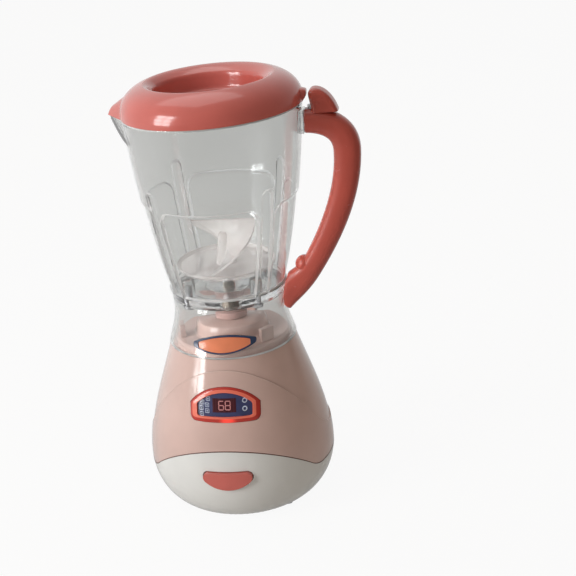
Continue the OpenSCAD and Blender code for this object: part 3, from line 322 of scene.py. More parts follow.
# Painted highlight: pale strip standing in for light caught on the swoosh step's edge.
SWOOSH_HIGHLIGHT = Finish("swoosh_painted_highlight", (224, 198, 188), "shell_pink", rough=0.2)
CONTACT = Finish("contact_plate", (196, 196, 194), "contact_plate", FinishKind.METAL)
MOTOR_CAN = Finish("motor_can", (170, 172, 178), "motor_can", FinishKind.METAL, rough=0.32)
CELL = Finish("cell_sleeve", (58, 58, 62), "cell_sleeve", rough=0.25)


def cubic(a: Point2, b: Point2, c: Point2, d: Point2, steps: int) -> list[Point2]:
    """Points along a cubic curve.

    Args:
        a: Start.
        b: First handle.
        c: Second handle.
        d: End.
        steps: Number of stretches.

    Returns:
        The points from start to end.
    """
    points = []
    for i in range(steps + 1):
        t = i / steps
        w = ((1 - t) ** 3, 3 * t * (1 - t) ** 2, 3 * t * t * (1 - t), t**3)
        points.append(tuple(w[0] * a[k] + w[1] * b[k] + w[2] * c[k] + w[3] * d[k] for k in (0, 1)))
    return points


def heading(line: Sequence[Point2], i: int) -> Point2:
    """Direction of a line at one of its points.

    Args:
        line: The line.
        i: Number of the point.

    Returns:
        The direction, with a length of one.
    """
    low, high = line[max(i - 1, 0)], line[min(i + 1, len(line) - 1)]
    run, rise = high[0] - low[0], high[1] - low[1]
    size = math.hypot(run, rise)
    return run / size, rise / size


def inset(line: Sequence[Point2], depth: float) -> list[Point2]:
    """Move a rising outline towards the axis by a depth."""
    ways = [heading(line, i) for i in range(len(line))]
    return [(r - depth * rise, z + depth * run) for (r, z), (run, rise) in zip(line, ways)]


def radius_at(line: Sequence[Point2], z: float) -> float:
    """Radius of an outline at a height.

    Args:
        line: Radius and height pairs with rising heights.
        z: Height.

    Returns:
        The radius there, held at the ends.
    """
    if z <= line[0][1]:
        return line[0][0]
    for low, high in zip(line, line[1:]):
        if z <= high[1]:
            share = (z - low[1]) / max(high[1] - low[1], 1e-9)
            return low[0] + share * (high[0] - low[0])
    return line[-1][0]


def step(low: float, high: float, value: float) -> float:
    """Smooth step."""
    t = min(1.0, max(0.0, (value - low) / (high - low)))
    return t * t * (3 - 2 * t)


def squared(wave: float, power: float) -> float:
    """Sine or cosine under a power with its sign kept, for rounded squares."""
    return math.copysign(abs(wave) ** power, wave)


def turns(count: int) -> list[float]:
    """Directions in equal steps round a circle."""
    return [2 * math.pi * k / count for k in range(count)]


def polar(r: float, angle: float, z: float) -> Point3:
    """Point at a radius, a direction and a height."""
    return (r * math.cos(angle), r * math.sin(angle), z)


def halved(inside: Callable[[float], bool], low: float, high: float, rounds: int = 28) -> Point2:
    """Close in on the edge of a region by halving.

    Args:
        inside: Test of a place.
        low: Place inside.
        high: Place outside.
        rounds: Number of halvings.

    Returns:
        The last places found inside and outside.
    """
    for _ in range(rounds):
        mid = (low + high) / 2
        if inside(mid):
            low = mid
        else:
            high = mid
    return low, high


def traced(inside: Callable[[float, float], bool], middle: Point2, stretch: float, count: int = 144,
           farthest: float = 60.0) -> list[Point2]:
    """Trace the edge of a region round a point inside it.

    Args:
        inside: Test of a place.
        middle: The point inside.
        stretch: Width of the region over its height.
        count: Number of points.
        farthest: Distance from the middle that lies outside.

    Returns:
        The edge, anticlockwise, with softened corners.
    """
    ways = [(stretch * math.cos(t), math.sin(t)) for t in turns(count)]

    def reach(way: Point2) -> float:
        """Distance to the edge in one direction."""
        x, z = middle
        return halved(lambda far: inside(x + far * way[0], z + far * way[1]), 0.0, farthest)[0]

    edge = [reach(way) for way in ways]
    for _ in range(3):
        edge = [(edge[k - 1] + 2 * edge[k] + edge[(k + 1) % count]) / 4 for k in range(count)]
    return [(middle[0] + far * way[0], middle[1] + far * way[1]) for far, way in zip(edge, ways)]


def teardrop(big_r: float, tip_r: float, reach: float, angle: float) -> float:
    """Distance from the axis to an outline of two circles and their tangents.

    Args:
        big_r: Radius of the circle on the axis.
        tip_r: Radius of the circle at the tip.
        reach: Distance of the tip from the axis.
        angle: Direction, measured from the tip, in radians.

    Returns:
        The distance in that direction.
    """
    away = reach - tip_r
    turn = math.acos((big_r - tip_r) / away)
    side = abs(math.remainder(angle, 2 * math.pi))
    touch = math.atan2(tip_r * math.sin(turn), away + tip_r * math.cos(turn))
    if side >= turn:
        return big_r
    if side >= touch:
        return big_r / math.cos(side - turn)
    return away * math.cos(side) + math.sqrt(max(0.0, tip_r**2 - (away * math.sin(side)) ** 2))


def linked(name: str, data: bpy.types.ID) -> bpy.types.Object:
    """Make an object from its data and link it to the scene."""
    made = bpy.data.objects.new(name, data)
    bpy.context.scene.collection.objects.link(made)
    return made


@dataclass
class Shape:
    """A mesh in the making, in millimetres."""

    name: str
    verts: list[Point3] = field(default_factory=list)
    faces: list[tuple[int, ...]] = field(default_factory=list)
    marks: list[int] = field(default_factory=list)

    def add_rings(self, rings: Sequence[Sequence[Point3]], closed_path: bool = False,
                  caps: bool = False) -> "Shape":
        """Join rings of equal length into a skin.

        Args:
            rings: Rings of points, in order along the skin.
            closed_path: Join the last ring to the first.
            caps: Close the first and the last ring with a face.

        Returns:
            The shape itself.
        """
        start, total, count = len(self.verts), len(rings), len(rings[0])
        for ring in rings:
            self.verts.extend(ring)
        for i in range(total if closed_path else total - 1):
            a = start + i * count
            b = start + ((i + 1) % total) * count
            for k in range(count):
                n = (k + 1) % count
                self.faces.append((a + k, a + n, b + n, b + k))
        if caps:
            self.faces.append(tuple(start + k for k in reversed(range(count))))
            self.faces.append(tuple(start + (total - 1) * count + k for k in range(count)))
        self.marks.extend([0] * (len(self.faces) - len(self.marks)))
        return self

    def add_revolved(self, line: Sequence[Point2], sides: int,
                     shift: Callable[[float, float, float, int], Point2] | None = None) -> "Shape":
        """Turn a closed outline of radius and height about the axis.

        Args:
            line: Radius and height pairs, in order round the section.
            sides: Number of steps round the axis.
            shift: Optional change of a point by its direction and its place in the line.

        Returns:
            The shape itself.
        """
        rings = []
        for i, (r, z) in enumerate(line):
            ring = []
            for a in turns(sides):
                rr, zz = shift(r, z, a, i) if shift else (r, z)
                ring.append(polar(rr, a, zz))
            rings.append(ring)
        return self.add_rings(rings, closed_path=True)

    def add_box(self, low: Point3, high: Point3, round_r: float) -> "Shape":
        """Add a box with rounded edges.

        Args:
            low: Lowest corner.
            high: Highest corner.
            round_r: Radius of its edges.

        Returns:
            The shape itself.
        """
        work = bmesh.new()
        bmesh.ops.create_cube(work, size=1.0)
        for vert in work.verts:
            vert.co = Vector([low[k] + (vert.co[k] + 0.5) * (high[k] - low[k]) for k in range(3)])
        bmesh.ops.bevel(work, geom=list(work.edges), offset=round_r, segments=4, profile=0.5, affect="EDGES")
        work.verts.index_update()
        start = len(self.verts)
        self.verts.extend(tuple(v.co) for v in work.verts)
        for face in work.faces:
            self.faces.append(tuple(start + v.index for v in face.verts))
            self.marks.append(0)
        work.free()
        return self

    def mark(self, rows: Sequence[int], count: int, index: int = 1) -> None:
        """Give rows of faces between rings a material."""
        for row in rows:
            self.marks[row * count:(row + 1) * count] = [index] * count

    def build(self, smooth: float = 35.0) -> bpy.types.Object:
        """Make the object, with smooth shading up to an angle.

        Args:
            smooth: Angle in degrees above which an edge stays sharp.

        Returns:
            The new object, linked to the scene.
        """
        mesh = bpy.data.meshes.new(self.name)
        mesh.from_pydata([tuple(c * MM for c in v) for v in self.verts], [], self.faces)
        mesh.polygons.foreach_set("material_index", self.marks)
        return finish_mesh(self.name, mesh, smooth)


def finish_mesh(name: str, mesh: bpy.types.Mesh, smooth: float) -> bpy.types.Object:
    """Clean a mesh, shade it and link it as an object.

    Args:
        name: Name of the object.
        mesh: Its mesh.
        smooth: Angle in degrees above which an edge stays sharp.

    Returns:
        The object.
    """
    work = bmesh.new()
    work.from_mesh(mesh)
    bmesh.ops.remove_doubles(work, verts=work.verts, dist=MERGE_M)
    bmesh.ops.dissolve_degenerate(work, edges=work.edges, dist=SLIVER_M)
    bmesh.ops.recalc_face_normals(work, faces=work.faces)
    limit = math.radians(smooth)
    for edge in work.edges:
        edge.smooth = edge.is_manifold and edge.calc_face_angle(OPEN_ANGLE) < limit
    for face in work.faces:
        face.smooth = True
    work.to_mesh(mesh)
    work.free()
    return linked(name, mesh)


@dataclass
class Rounding:
    """Refines the faces of a turned surface and sets their new corners on its outline."""

    line: Sequence[Point2]
    longest: float = 2.6
    close: float = 0.15
    reach: float = 0.8
    outward: float = 0.2
    rounds: int = 4
    near: KDTree = field(init=False)

    def __post_init__(self) -> None:
        """Sort the outline's points for the search."""
        self.near = KDTree(len(self.line))
        for i, (r, z) in enumerate(self.line):
            self.near.insert((r * MM, z * MM, 0), i)
        self.near.balance()

    def apply(self, mesh: bpy.types.Mesh) -> None:
        """Refine a mesh.

        Args:
            mesh: The mesh, in metres.
        """
        work = bmesh.new()
        work.from_mesh(mesh)
        for _ in range(self.rounds):
            faces = [face for face in work.faces if self._turned(face)]
            edges = {e for face in faces for e in face.edges if e.calc_length() > self.longest * MM}
            if not edges:
                break
            made = bmesh.ops.subdivide_edges(work, edges=list(edges), cuts=1)
            for vert in made["geom_inner"]:
                if isinstance(vert, bmesh.types.BMVert):
                    self._settle(vert)
            bmesh.ops.triangulate(work, faces=[f for f in work.faces if len(f.verts) > 3])
            work.normal_update()
        work.to_mesh(mesh)
        work.free()

    def _found(self, co: Vector) -> tuple[Vector, float]:
        """Find the nearest place on the outline."""
        spot, _, far = self.near.find((math.hypot(co.x, co.y), co.z, 0))
        return spot, far

    def _turned(self, face: bmesh.types.BMFace) -> bool:
        """Tell whether a face belongs to the turned surface.

        Args:
            face: The face.

        Returns:
            True if it faces outwards and its corners are on the outline.
        """
        middle = face.calc_center_median()
        radial = Vector((middle.x, middle.y, 0)).normalized().dot(face.normal)
        return radial > self.outward and all(self._found(v.co)[1] < self.close * MM for v in face.verts)

    def _settle(self, vert: bmesh.types.BMVert) -> None:
        """Move a new corner onto the outline.

        Args:
            vert: The corner.
        """
        spot, far = self._found(vert.co)
        if far < self.reach * MM:
            scale = spot.x / math.hypot(vert.co.x, vert.co.y)
            vert.co = Vector((vert.co.x * scale, vert.co.y * scale, spot.y))


def node_copy(node: str, smooth: float = 30.0, turned: Rounding | None = None) -> bpy.types.Object:
    """Make a smooth-shaded piece on the shape of a CAD node.

    Args:
        node: Name of the node.
        smooth: Angle in degrees above which an edge stays sharp.
        turned: Refines its turned surface, if that is wanted.

    Returns:
        The new piece.
    """
    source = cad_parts[node].data
    mesh = bpy.data.meshes.new(f"{node}_skin")
    mesh.from_pydata([v.co[:] for v in source.vertices], [], [p.vertices[:] for p in source.polygons])
    if turned:
        turned.apply(mesh)
    return finish_mesh(f"{node}_skin", mesh, smooth)


def dress(piece: bpy.types.Object, body: str, finishes: Sequence[Finish], nodes: Sequence[str] = ()) -> None:
    """Give a piece its finishes and set it on its body.

    Args:
        piece: The object.
        body: CAD body that carries it.
        finishes: Finishes in the order of its material indices.
        nodes: CAD nodes that the piece stands for.
    """
    piece.visible_shadow = finishes[0].kind is not FinishKind.CLEAR
    for finish in finishes:
        piece.data.materials.append(finish.material())
    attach(piece, body)
    if nodes:
        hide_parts(*nodes)
    log.info("%s rides on %s", piece.name, body)


@dataclass(frozen=True)
class Outline:
    """Outlines of base, skirt and container, in millimetres."""

    belly_r: float = 52.5
    belly_z: float = 28.0
    foot_r: float = 31.0
    foot_steps: int = 24
    shoulder_r: float = 35.4
    shoulder_z: float = 95.5
    shell_pull: float = 22.0
    shell_steps: int = 40
    lean: float = 0.31
    waist_r: float = 30.7
    waist_z: float = 118.0
    skirt_pull: float = 9.0
    skirt_steps: int = 28
    jug_base_r: float = 31.2
    jug_base_z: float = 123.4
    jug_pull: float = 29.0
    jug_lean: Point2 = (0.3, 0.085)
    rim_r: float = 47.4
    rim_z: float = 222.7
    seat: float = 1.8
    seat_x: float = 1.5
    seat_y: float = 0.6

    @lru_cache(maxsize=None)
    def base(self, fine: int = 1) -> list[Point2]:
        """Outline of the base from foot to shoulder.

        Args:
            fine: Number of points for each usual one.

        Returns:
            The outline.
        """
        steps = self.foot_steps * fine
        rounding = (math.radians(90 * i / steps) for i in range(steps + 1))
        foot = [(self.foot_r + (self.belly_r - self.foot_r) * math.sin(a), self.belly_z * (1 - math.cos(a)))
                for a in rounding]
        shell = cubic((self.belly_r, self.belly_z), (self.belly_r, self.belly_z + self.shell_pull),
                      (self.shoulder_r + self.lean * self.shell_pull, self.shoulder_z - self.shell_pull),
                      (self.shoulder_r, self.shoulder_z), self.shell_steps * fine)
        return foot + shell[1:]

    @lru_cache(maxsize=None)
    def skirt(self) -> list[Point2]:
        """Outline of the skirt from shoulder to container.

        Returns:
            The outline.
        """
        pull = self.skirt_pull
        flare = cubic((self.shoulder_r, self.shoulder_z),
                      (self.shoulder_r - self.lean * pull, self.shoulder_z + pull),
                      (self.waist_r, self.waist_z - pull), (self.waist_r, self.waist_z), self.skirt_steps)
        return flare + [(self.jug_base_r, self.jug_base_z)]

    @lru_cache(maxsize=None)
    def jug(self, steps: int = 110) -> list[Point2]:
        """Outline of the container from base to rim.

        Args:
            steps: Number of stretches.

        Returns:
            The outline.
        """
        pull = self.jug_pull
        low, high = self.jug_lean
        return cubic((self.jug_base_r, self.jug_base_z),
                     (self.jug_base_r + low * pull, self.jug_base_z + pull),
                     (self.rim_r - high * pull, self.rim_z - pull), (self.rim_r, self.rim_z), steps)

    def seat_rise(self, angle: float) -> float:
        """Height of the container's rim over its level place, in one direction."""
        return self.seat + self.seat_x * math.cos(angle) + self.seat_y * math.sin(angle)


OUTLINE = Outline()


def on_front(line: Sequence[Point2], edge: Sequence[Point2]) -> list[Point3]:
    """Lay an outline on the front of a turned surface."""
    return [(x, -math.sqrt(radius_at(line, z) ** 2 - x * x), z) for x, z in edge]


@dataclass
class Studio:
    """Camera, lamps, floor and background."""

    eye: Point3 = (0.1229, -0.6041, 0.3639)
    right: Point3 = (0.9903, 0.1198, -0.0699)
    up: Point3 = (0.0201, 0.3746, 0.9270)
    lens: float = 75.0
    sensor: float = 36.0
    aim: Point3 = (0.0, 0.0, 0.12)
    window_at: Point3 = (-0.86, -0.66, 0.5)
    window_power: float = 1.4
    pane: float = 0.2
    pane_gap: float = 0.035
    top_at: Point3 = (-0.2, 0.2, 1.2)
    top_size: float = 0.8
    top_power: float = 2.2
    floor_half: float = 3.0
    floor_color: Color = (0.62, 0.59, 0.55)
    floor_rough: float = 0.9
    floor_white: float = 0.93
    floor_reach: float = 0.45
    through_white: float = 0.4
    sky_power: float = 0.5
    sky_span: Point2 = (0.2, 0.85)
    sky_far: Color = (0.66, 0.57, 0.48)
    far_way: Point3 = (0.75, -0.66, 0.0)
    near_side: float = 0.85
    far_side: float = 0.1

    def build(self) -> None:
        """Set up everything that isn't the object."""
        self._camera()
        self._lamps()
        self._floor()
        self._world()
        bpy.context.scene.view_settings.view_transform = "Standard"

    def _camera(self) -> None:
        """Place the camera at the photograph's viewpoint."""
        data = bpy.data.cameras.new("camera")
        data.lens = self.lens
        data.sensor_width = self.sensor
        camera = linked("camera", data)
        right = Vector(self.right).normalized()
        up = (Vector(self.up) - Vector(self.up).dot(right) * right).normalized()
        turn = Matrix((right, up, right.cross(up))).transposed()
        camera.matrix_world = Matrix.Translation(self.eye) @ turn.to_4x4()
        bpy.context.scene.camera = camera

    def _lamps(self) -> None:
        """Hang a paned window at the front left and a soft panel above."""
        pitch = self.pane + self.pane_gap
        for column in (-0.5, 0.5):
            for row in (-1, 0, 1):
                self._panel(f"window_{column}_{row}", self.window_at, self.pane, self.window_power,
                            (column * pitch, row * pitch))
        self._panel("top_panel", self.top_at, self.top_size, self.top_power)

    def _panel(self, name: str, at: Point3, size: float, power: float, aside: Point2 = (0.0, 0.0)) -> None:
        """Add one soft panel that faces the object.

        Args:
            name: Name of the lamp.
            at: Middle of its group.
            size: Width and height.
            power: Power in watts.
            aside: Its place in the group, sideways and upwards.
        """
        data = bpy.data.lights.new(name, "AREA")
        data.shape = "RECTANGLE"
        data.size, data.size_y = size, size
        data.energy = power
        lamp = linked(name, data)
        turn = (Vector(self.aim) - Vector(at)).to_track_quat("-Z", "Y")
        lamp.location = Vector(at) + turn @ Vector((*aside, 0))
        lamp.rotation_euler = turn.to_euler()

    def _floor(self) -> None:
        """Lay a pale floor that shows white to the camera apart from the shadow."""
        half = self.floor_half
        mesh = bpy.data.meshes.new("floor")
        corners = [(-half, -half, 0), (half, -half, 0), (half, half, 0), (-half, half, 0)]
        mesh.from_pydata(corners, [], [(0, 1, 2, 3)])
        floor = linked("floor", mesh)
        made = bpy.data.materials.new("floor_pale")
        made.use_nodes = True
        nodes = made.node_tree.nodes
        graph = Graph(made.node_tree)
        shader = nodes["Principled BSDF"]
        graph.feed(shader, {"Base Color": (*self.floor_color, 1), "Roughness": self.floor_rough})
        surface = self._mixed(graph, shader.outputs["BSDF"], "Emission", self.floor_white,
                              graph.place("Object"), self.floor_reach)
        graph.feed(nodes["Material Output"], {"Surface": surface})
        mesh.materials.append(made)

    def _mixed(self, graph: Graph, lit: Socket, kind: str, direct: float, place: Socket,
               reach: float) -> Socket:
        """Show white to the camera and through clear plastic, and a bright and a dark side to reflections.

        Args:
            graph: The nodes.
            lit: Shader for all other light.
            kind: Node type of the white and of the reflections' shader.
            direct: Share of white for rays straight from the camera.
            place: Coordinate across which the reflections darken.
            reach: Distance from the middle to either side.

        Returns:
            The socket with the mixed shader.
        """
        path = graph.add("LightPath", {}).outputs
        seen = graph.combine("MULTIPLY", path["Is Camera Ray"], direct)
        through = graph.combine("MULTIPLY", path["Is Transmission Ray"], self.through_white)
        white = graph.add(kind, {"Color": (*WHITE, 1), "Strength": 1.0}).outputs[0]
        plain = graph.mix(graph.combine("MAXIMUM", seen, through), lit, white)
        along = graph.add("VectorMath", {0: place, 1: self.far_way}, operation="DOT_PRODUCT").outputs["Value"]
        strength = graph.span(along, (-reach, reach), (self.near_side, self.far_side), smooth=True)
        card = graph.add(kind, {"Color": (*WHITE, 1), "Strength": strength}).outputs[0]
        mirrored = graph.combine("SUBTRACT", path["Is Glossy Ray"], path["Is Transmission Ray"])
        return graph.mix(mirrored, plain, card)

    def _world(self) -> None:
        """Fill the surroundings with soft light and a white background."""
        world = bpy.data.worlds.new("studio")
        bpy.context.scene.world = world
        world.use_nodes = True
        nodes = world.node_tree.nodes
        graph = Graph(world.node_tree)
        way = graph.place("Generated")
        across = graph.add("SeparateXYZ", {"Vector": way}).outputs["X"]
        near, far = self.sky_span
        tone = graph.ramp(graph.span(across, (-1.0, 1.0), (0.0, 1.0)), (near, WHITE), (far, self.sky_far))
        graph.feed(nodes["Background"], {"Color": tone, "Strength": self.sky_power})
        surface = self._mixed(graph, nodes["Background"].outputs["Background"], "Background", 1.0, way, 1.0)
        graph.feed(nodes["World Output"], {"Surface": surface})


Copies = tuple[tuple[Finish, tuple[str, ...]], ...]


@dataclass
class Assembly:
    """Pieces on one body, some of them plain copies of CAD nodes."""

    body: str
    copies: Copies = ()

    def build(self) -> None:
        """Build and dress the pieces."""
        for finish, nodes in self.copies:
            for node in nodes:
                dress(node_copy(node), self.body, [finish], [node])


@dataclass(frozen=True)
class Seam:
    """Thin coloured line round the base where a sloping plane that turns level meets its surface; it carries
    painted shade in the tray's joint and a painted highlight along the swoosh step's edge.
    """

    name: str
    front_z: float
    slope: float
    level: float
    bend_r: float
    half: float
    proud: float = 0.04
    depth: float = 0.2
    sides: int = 360
    halvings: int = 24

    def height_at(self, y: float) -> float:
        """Height of the plane.

        Args:
            y: Place from front to back.

        Returns:
            The height.
        """
        slope = math.radians(self.slope)
        corner = -radius_at(OUTLINE.base(), self.front_z) + (self.front_z - self.level) / math.tan(slope)
        run = self.bend_r * math.tan(slope / 2)
        if y > corner + run:
            return self.level
        if y < corner - run * math.cos(slope):
            return self.level + (corner - y) * math.tan(slope)
        return self.level + self.bend_r - math.sqrt(self.bend_r**2 - (y - corner - run) ** 2)

    def _ring(self, angle: float) -> list[Point3]:
        """Section of the line in one direction.

        Args:
            angle: The direction in radians.

        Returns:
            Its corners.
        """
        line = OUTLINE.base()

        def below(z: float) -> bool:
            """Test a height against the plane."""
            return z <= self.height_at(radius_at(line, z) * math.sin(angle))

        middle = sum(halved(below, self.level - 1, self.front_z + 1, self.halvings)) / 2 - self.half
        ring = []
        for side, lift in ((-1, self.proud), (1, self.proud), (1, -self.depth), (-1, -self.depth)):
            z = middle + side * self.half
            ring.append(polar(radius_at(line, z) + lift, angle, z))
        return ring

    def shape(self) -> Shape:
        """Return the line's shape."""
        return Shape(self.name).add_rings([self._ring(a) for a in turns(self.sides)], closed_path=True)


@dataclass
class Base(Assembly):
    """Tray, shell, battery bay and the fixed pieces inside."""

    body: str = "base"
    copies: Copies = (
        (COVER_WHITE, ("battery_cover",)),
        (SCREW, ("cover_screw", "base_screws", "plate_screws")),
        (CELL, ("battery_cells",)),
        (CONTACT, ("battery_contacts",)),
        (GEAR, ("gear_plate",)),
        (MOTOR_CAN, ("motor",)),
        (BRONZE, ("shaft_bush",)),
        (BOARD, ("circuit_board",)),
        (SWITCH, ("push_switch",)))
    fine: int = 8
    tray_seam_shade: Seam = Seam("tray_seam_shade", front_z=48.2, slope=42.0, level=26.0, bend_r=14.0, half=0.25)
    swoosh: Seam = Seam("swoosh_highlight_line", front_z=90.0, slope=62.0, level=41.0, bend_r=26.0, half=0.2)

    def build(self) -> None:
        """Round off tray and shell, draw on them the painted shade line in the joint and the painted
        highlight line on the swoosh step, and dress the rest.
        """
        turned = Rounding(OUTLINE.base(self.fine))
        dress(node_copy("base_tray", turned=turned), self.body, [TRAY_WHITE], ["base_tray"])
        dress(node_copy("base_shell", turned=turned), self.body, [SHELL_PINK], ["base_shell"])
        # Painted shade: dark strip in the joint between tray and shell.
        dress(self.tray_seam_shade.shape().build(smooth=40), self.body, [SEAM_SHADE])
        # Painted highlight: pale strip along the lower edge of the swoosh step.
        dress(self.swoosh.shape().build(smooth=40), self.body, [SWOOSH_HIGHLIGHT])
        super().build()


@dataclass
class Display(Assembly):
    """Bezel, panel with its printed marks, and lamp on the front of the shell."""

    body: str = "base"
    copies: Copies = ((PANEL, ("display_panel",)), (LAMP_GLOW, ("display_lamp",)))
    wide: float = 38.0
    low_z: float = 63.4
    height: float = 18.2
    arch_r: float = 24.7
    corner_r: float = 3.0
    least_corner: float = 0.8
    trace_rise: float = 0.45
    trace_wide: float = 1.9
    back_in: Insets = (-1.6, -1.6, -1.6, -1.6)
    bead_in: Insets = (0.5, 1.4, 0.6, 1.4)
    crest_in: Insets = (0.9, 2.1, 1.1, 2.1)
    mouth_in: Insets = (2.6, 2.8, 3.8, 3.8)
    seat_in: Insets = (2.8, 2.9, 4.0, 4.0)
    proud: float = 0.8
    bead_drop: float = 0.14
    mouth_drop: float = 0.25
    skin_gap: float = 0.1
    flange: Point2 = (2.85, 3.75)
    pocket: float = 1.25
    lit_rows: tuple[int, ...] = (2, 3, 4, 5)
    panel_depth: float = 0.1
    tile_t: float = 0.12
    window_half: Point2 = (6.4, 3.6)
    window_steps: int = 10
    window_lift: float = 0.05
    digit_w: float = 2.6
    digit_h: float = 4.4
    stroke: float = 0.5
    digit_z: float = 72.2
    digit_lift: float = 0.16
    digits: tuple[tuple[str, float], ...] = (("afgedc", -1.6), ("abcdefg", 2.0))
    mark_lift: float = 0.12
    squares: tuple[Point2, ...] = (
        (-12.2, 73.4), (-8.8, 75.4), (-12.6, 70.4), (-12.6, 67.4), (-9.4, 72.2), (-9.4, 69.2))
    square_r: tuple[Point2, ...] = ((1.55, 1.15), (0.5, 0.1))
    circles: tuple[Point2, ...] = ((11.0, 70.1), (11.0, 74.3))
    circle_r: Point2 = (1.35, 0.8)
    circle_sides: int = 24

    def build(self) -> None:
        """Build the bezel, dress the panel and lay the marks on it."""
        self._bezel()
        super().build()
        self._window()
        self._digits()
        self._marks()

    def _edge(self, moved: Insets = (0, 0, 0, 0)) -> list[Point2]:
        """Arched outline of the display, moved in on each side.

        Args:
            moved: Distance at the arch, the lower edge, the left and the right end.

        Returns:
            The outline in X and Z.
        """
        top, low, left, right = moved
        arch_z = self.low_z + self.height - self.arch_r
        corner = max(self.corner_r - low, self.least_corner)

        def inside(x: float, z: float) -> bool:
            """Test a place against the arch, the ends and the lower edge."""
            if math.hypot(x, z - arch_z) > self.arch_r - top:
                return False
            side = max(left - self.wide / 2 + corner - x, x - self.wide / 2 + right + corner, 0.0)
            drop = max(self.low_z + low + corner - z, 0.0)
            return math.hypot(side, drop) <= corner

        return traced(inside, (0.0, self.low_z + self.height * self.trace_rise), self.trace_wide)

    def _bezel(self) -> None:
        """Build the bezel with a broad bevel at the right and below."""
        outer, back, seat = self._edge(), self._edge(self.back_in), self._edge(self.seat_in)
        levels = [(back, self.flange[1]), (back, self.flange[0]), (outer, self.flange[0]),
                  (outer, self.skin_gap), (outer, -self.skin_gap),
                  (self._edge(self.bead_in), self.bead_drop - self.proud),
                  (self._edge(self.crest_in), -self.proud), (self._edge(self.mouth_in), -self.proud),
                  (seat, self.mouth_drop - self.proud), (seat, self.pocket)]
        shape = Shape("display_bezel")
        shape.add_rings([on_front(inset(OUTLINE.base(), depth), edge) for edge, depth in levels], caps=True)
        # The bevel rows take the darker red finish with its painted glow round the lamp.
        shape.mark(self.lit_rows, len(outer))
        dress(shape.build(smooth=24), self.body, [BEZEL, BEZEL_GLOW_EDGE], ["display_frame"])

    def _tile(self, shape: Shape, outline: Sequence[Point2], lift: float) -> None:
        """Lay a small flat shape on the panel."""
        depths = (self.panel_depth - lift + self.tile_t, self.panel_depth - lift)
        shape.add_rings([on_front(inset(OUTLINE.base(), depth), outline) for depth in depths], caps=True)

    def _window(self) -> None:
        """Lay the dark window behind the digits."""
        shape = Shape("digit_window")
        half_w, half_h = self.window_half
        for i in range(self.window_steps):
            left, right = (-half_w + 2 * half_w * k / self.window_steps for k in (i, i + 1))
            low, high = self.digit_z - half_h, self.digit_z + half_h
            self._tile(shape, [(left, low), (right, low), (right, high), (left, high)], self.window_lift)
        dress(shape.build(), self.body, [WINDOW])

    def _digits(self) -> None:
        """Lay two plain seven-segment digits."""
        shape = Shape("digits")
        for segments, middle in self.digits:
            for name in segments:
                self._tile(shape, self._segment(name, middle, self.digit_z), self.digit_lift)
        dress(shape.build(), self.body, [DIGIT])

    def _segment(self, name: str, x: float, z: float) -> list[Point2]:
        """Outline of one segment of a digit.

        Args:
            name: Letter of the segment, a to g.
            x: Middle of the digit.
            z: Middle of the digit.

        Returns:
            Its corners.
        """
        half_w, half_h, s = self.digit_w / 2, self.digit_h / 2, self.stroke / 2
        level = {"a": half_h, "g": 0.0, "d": -half_h}
        if name in level:
            zz = z + level[name]
            left, right = x - half_w, x + half_w
            return [(left + s, zz - s), (right - s, zz - s), (right, zz),
                    (right - s, zz + s), (left + s, zz + s), (left, zz)]
        xx = x + (half_w if name in "bc" else -half_w)
        low = z + (0.0 if name in "bf" else -half_h)
        high = low + half_h
        return [(xx, low), (xx + s, low + s), (xx + s, high - s),
                (xx, high), (xx - s, high - s), (xx - s, low + s)]

    def _marks(self) -> None:
        """Lay the small pale marks at both sides of the window."""
        shape = Shape("display_marks")
        for at in self.squares:
            for radii in self.square_r:
                self._ring(shape, at, radii, 4)
        for at in self.circles:
            self._ring(shape, at, self.circle_r, self.circle_sides)
        dress(shape.build(), self.body, [MARK])

    def _ring(self, shape: Shape, at: Point2, radii: Point2, sides: int) -> None:
        """Lay a small ring, or a square frame when it has four sides.

        Args:
            shape: Shape that takes the ring.
            at: Its middle in X and Z.
            radii: Outer and inner radius.
            sides: Number of its sides.
        """
        outer, inner = radii
        for t in turns(sides):
            a, b = t + math.pi / sides, t + 3 * math.pi / sides
            corners = [(at[0] + r * math.cos(w), at[1] + r * math.sin(w))
                       for r, w in ((inner, a), (outer, a), (outer, b), (inner, b))]
            self._tile(shape, corners, self.mark_lift)


@dataclass
class Button(Assembly):
    """Start button and its plunger."""

    body: str = "button"
    copies: Copies = ((CORAL, ("start_button",)), (SWITCH, ("switch_plunger",)))


@dataclass
class Drive(Assembly):
    """Coupling, shaft and gear below the jug."""

    body: str = "drive"
    copies: Copies = (
        (COUPLING_PINK, ("drive_coupling",)), (STEEL, ("drive_shaft",)), (GEAR, ("drive_gear",)))


@dataclass
class MotorRotor(Assembly):
    """Shaft and pinion of the motor."""

    body: str = "motor_rotor"
    copies: Copies = ((STEEL, ("motor_shaft",)), (BRASS, ("motor_pinion",)))


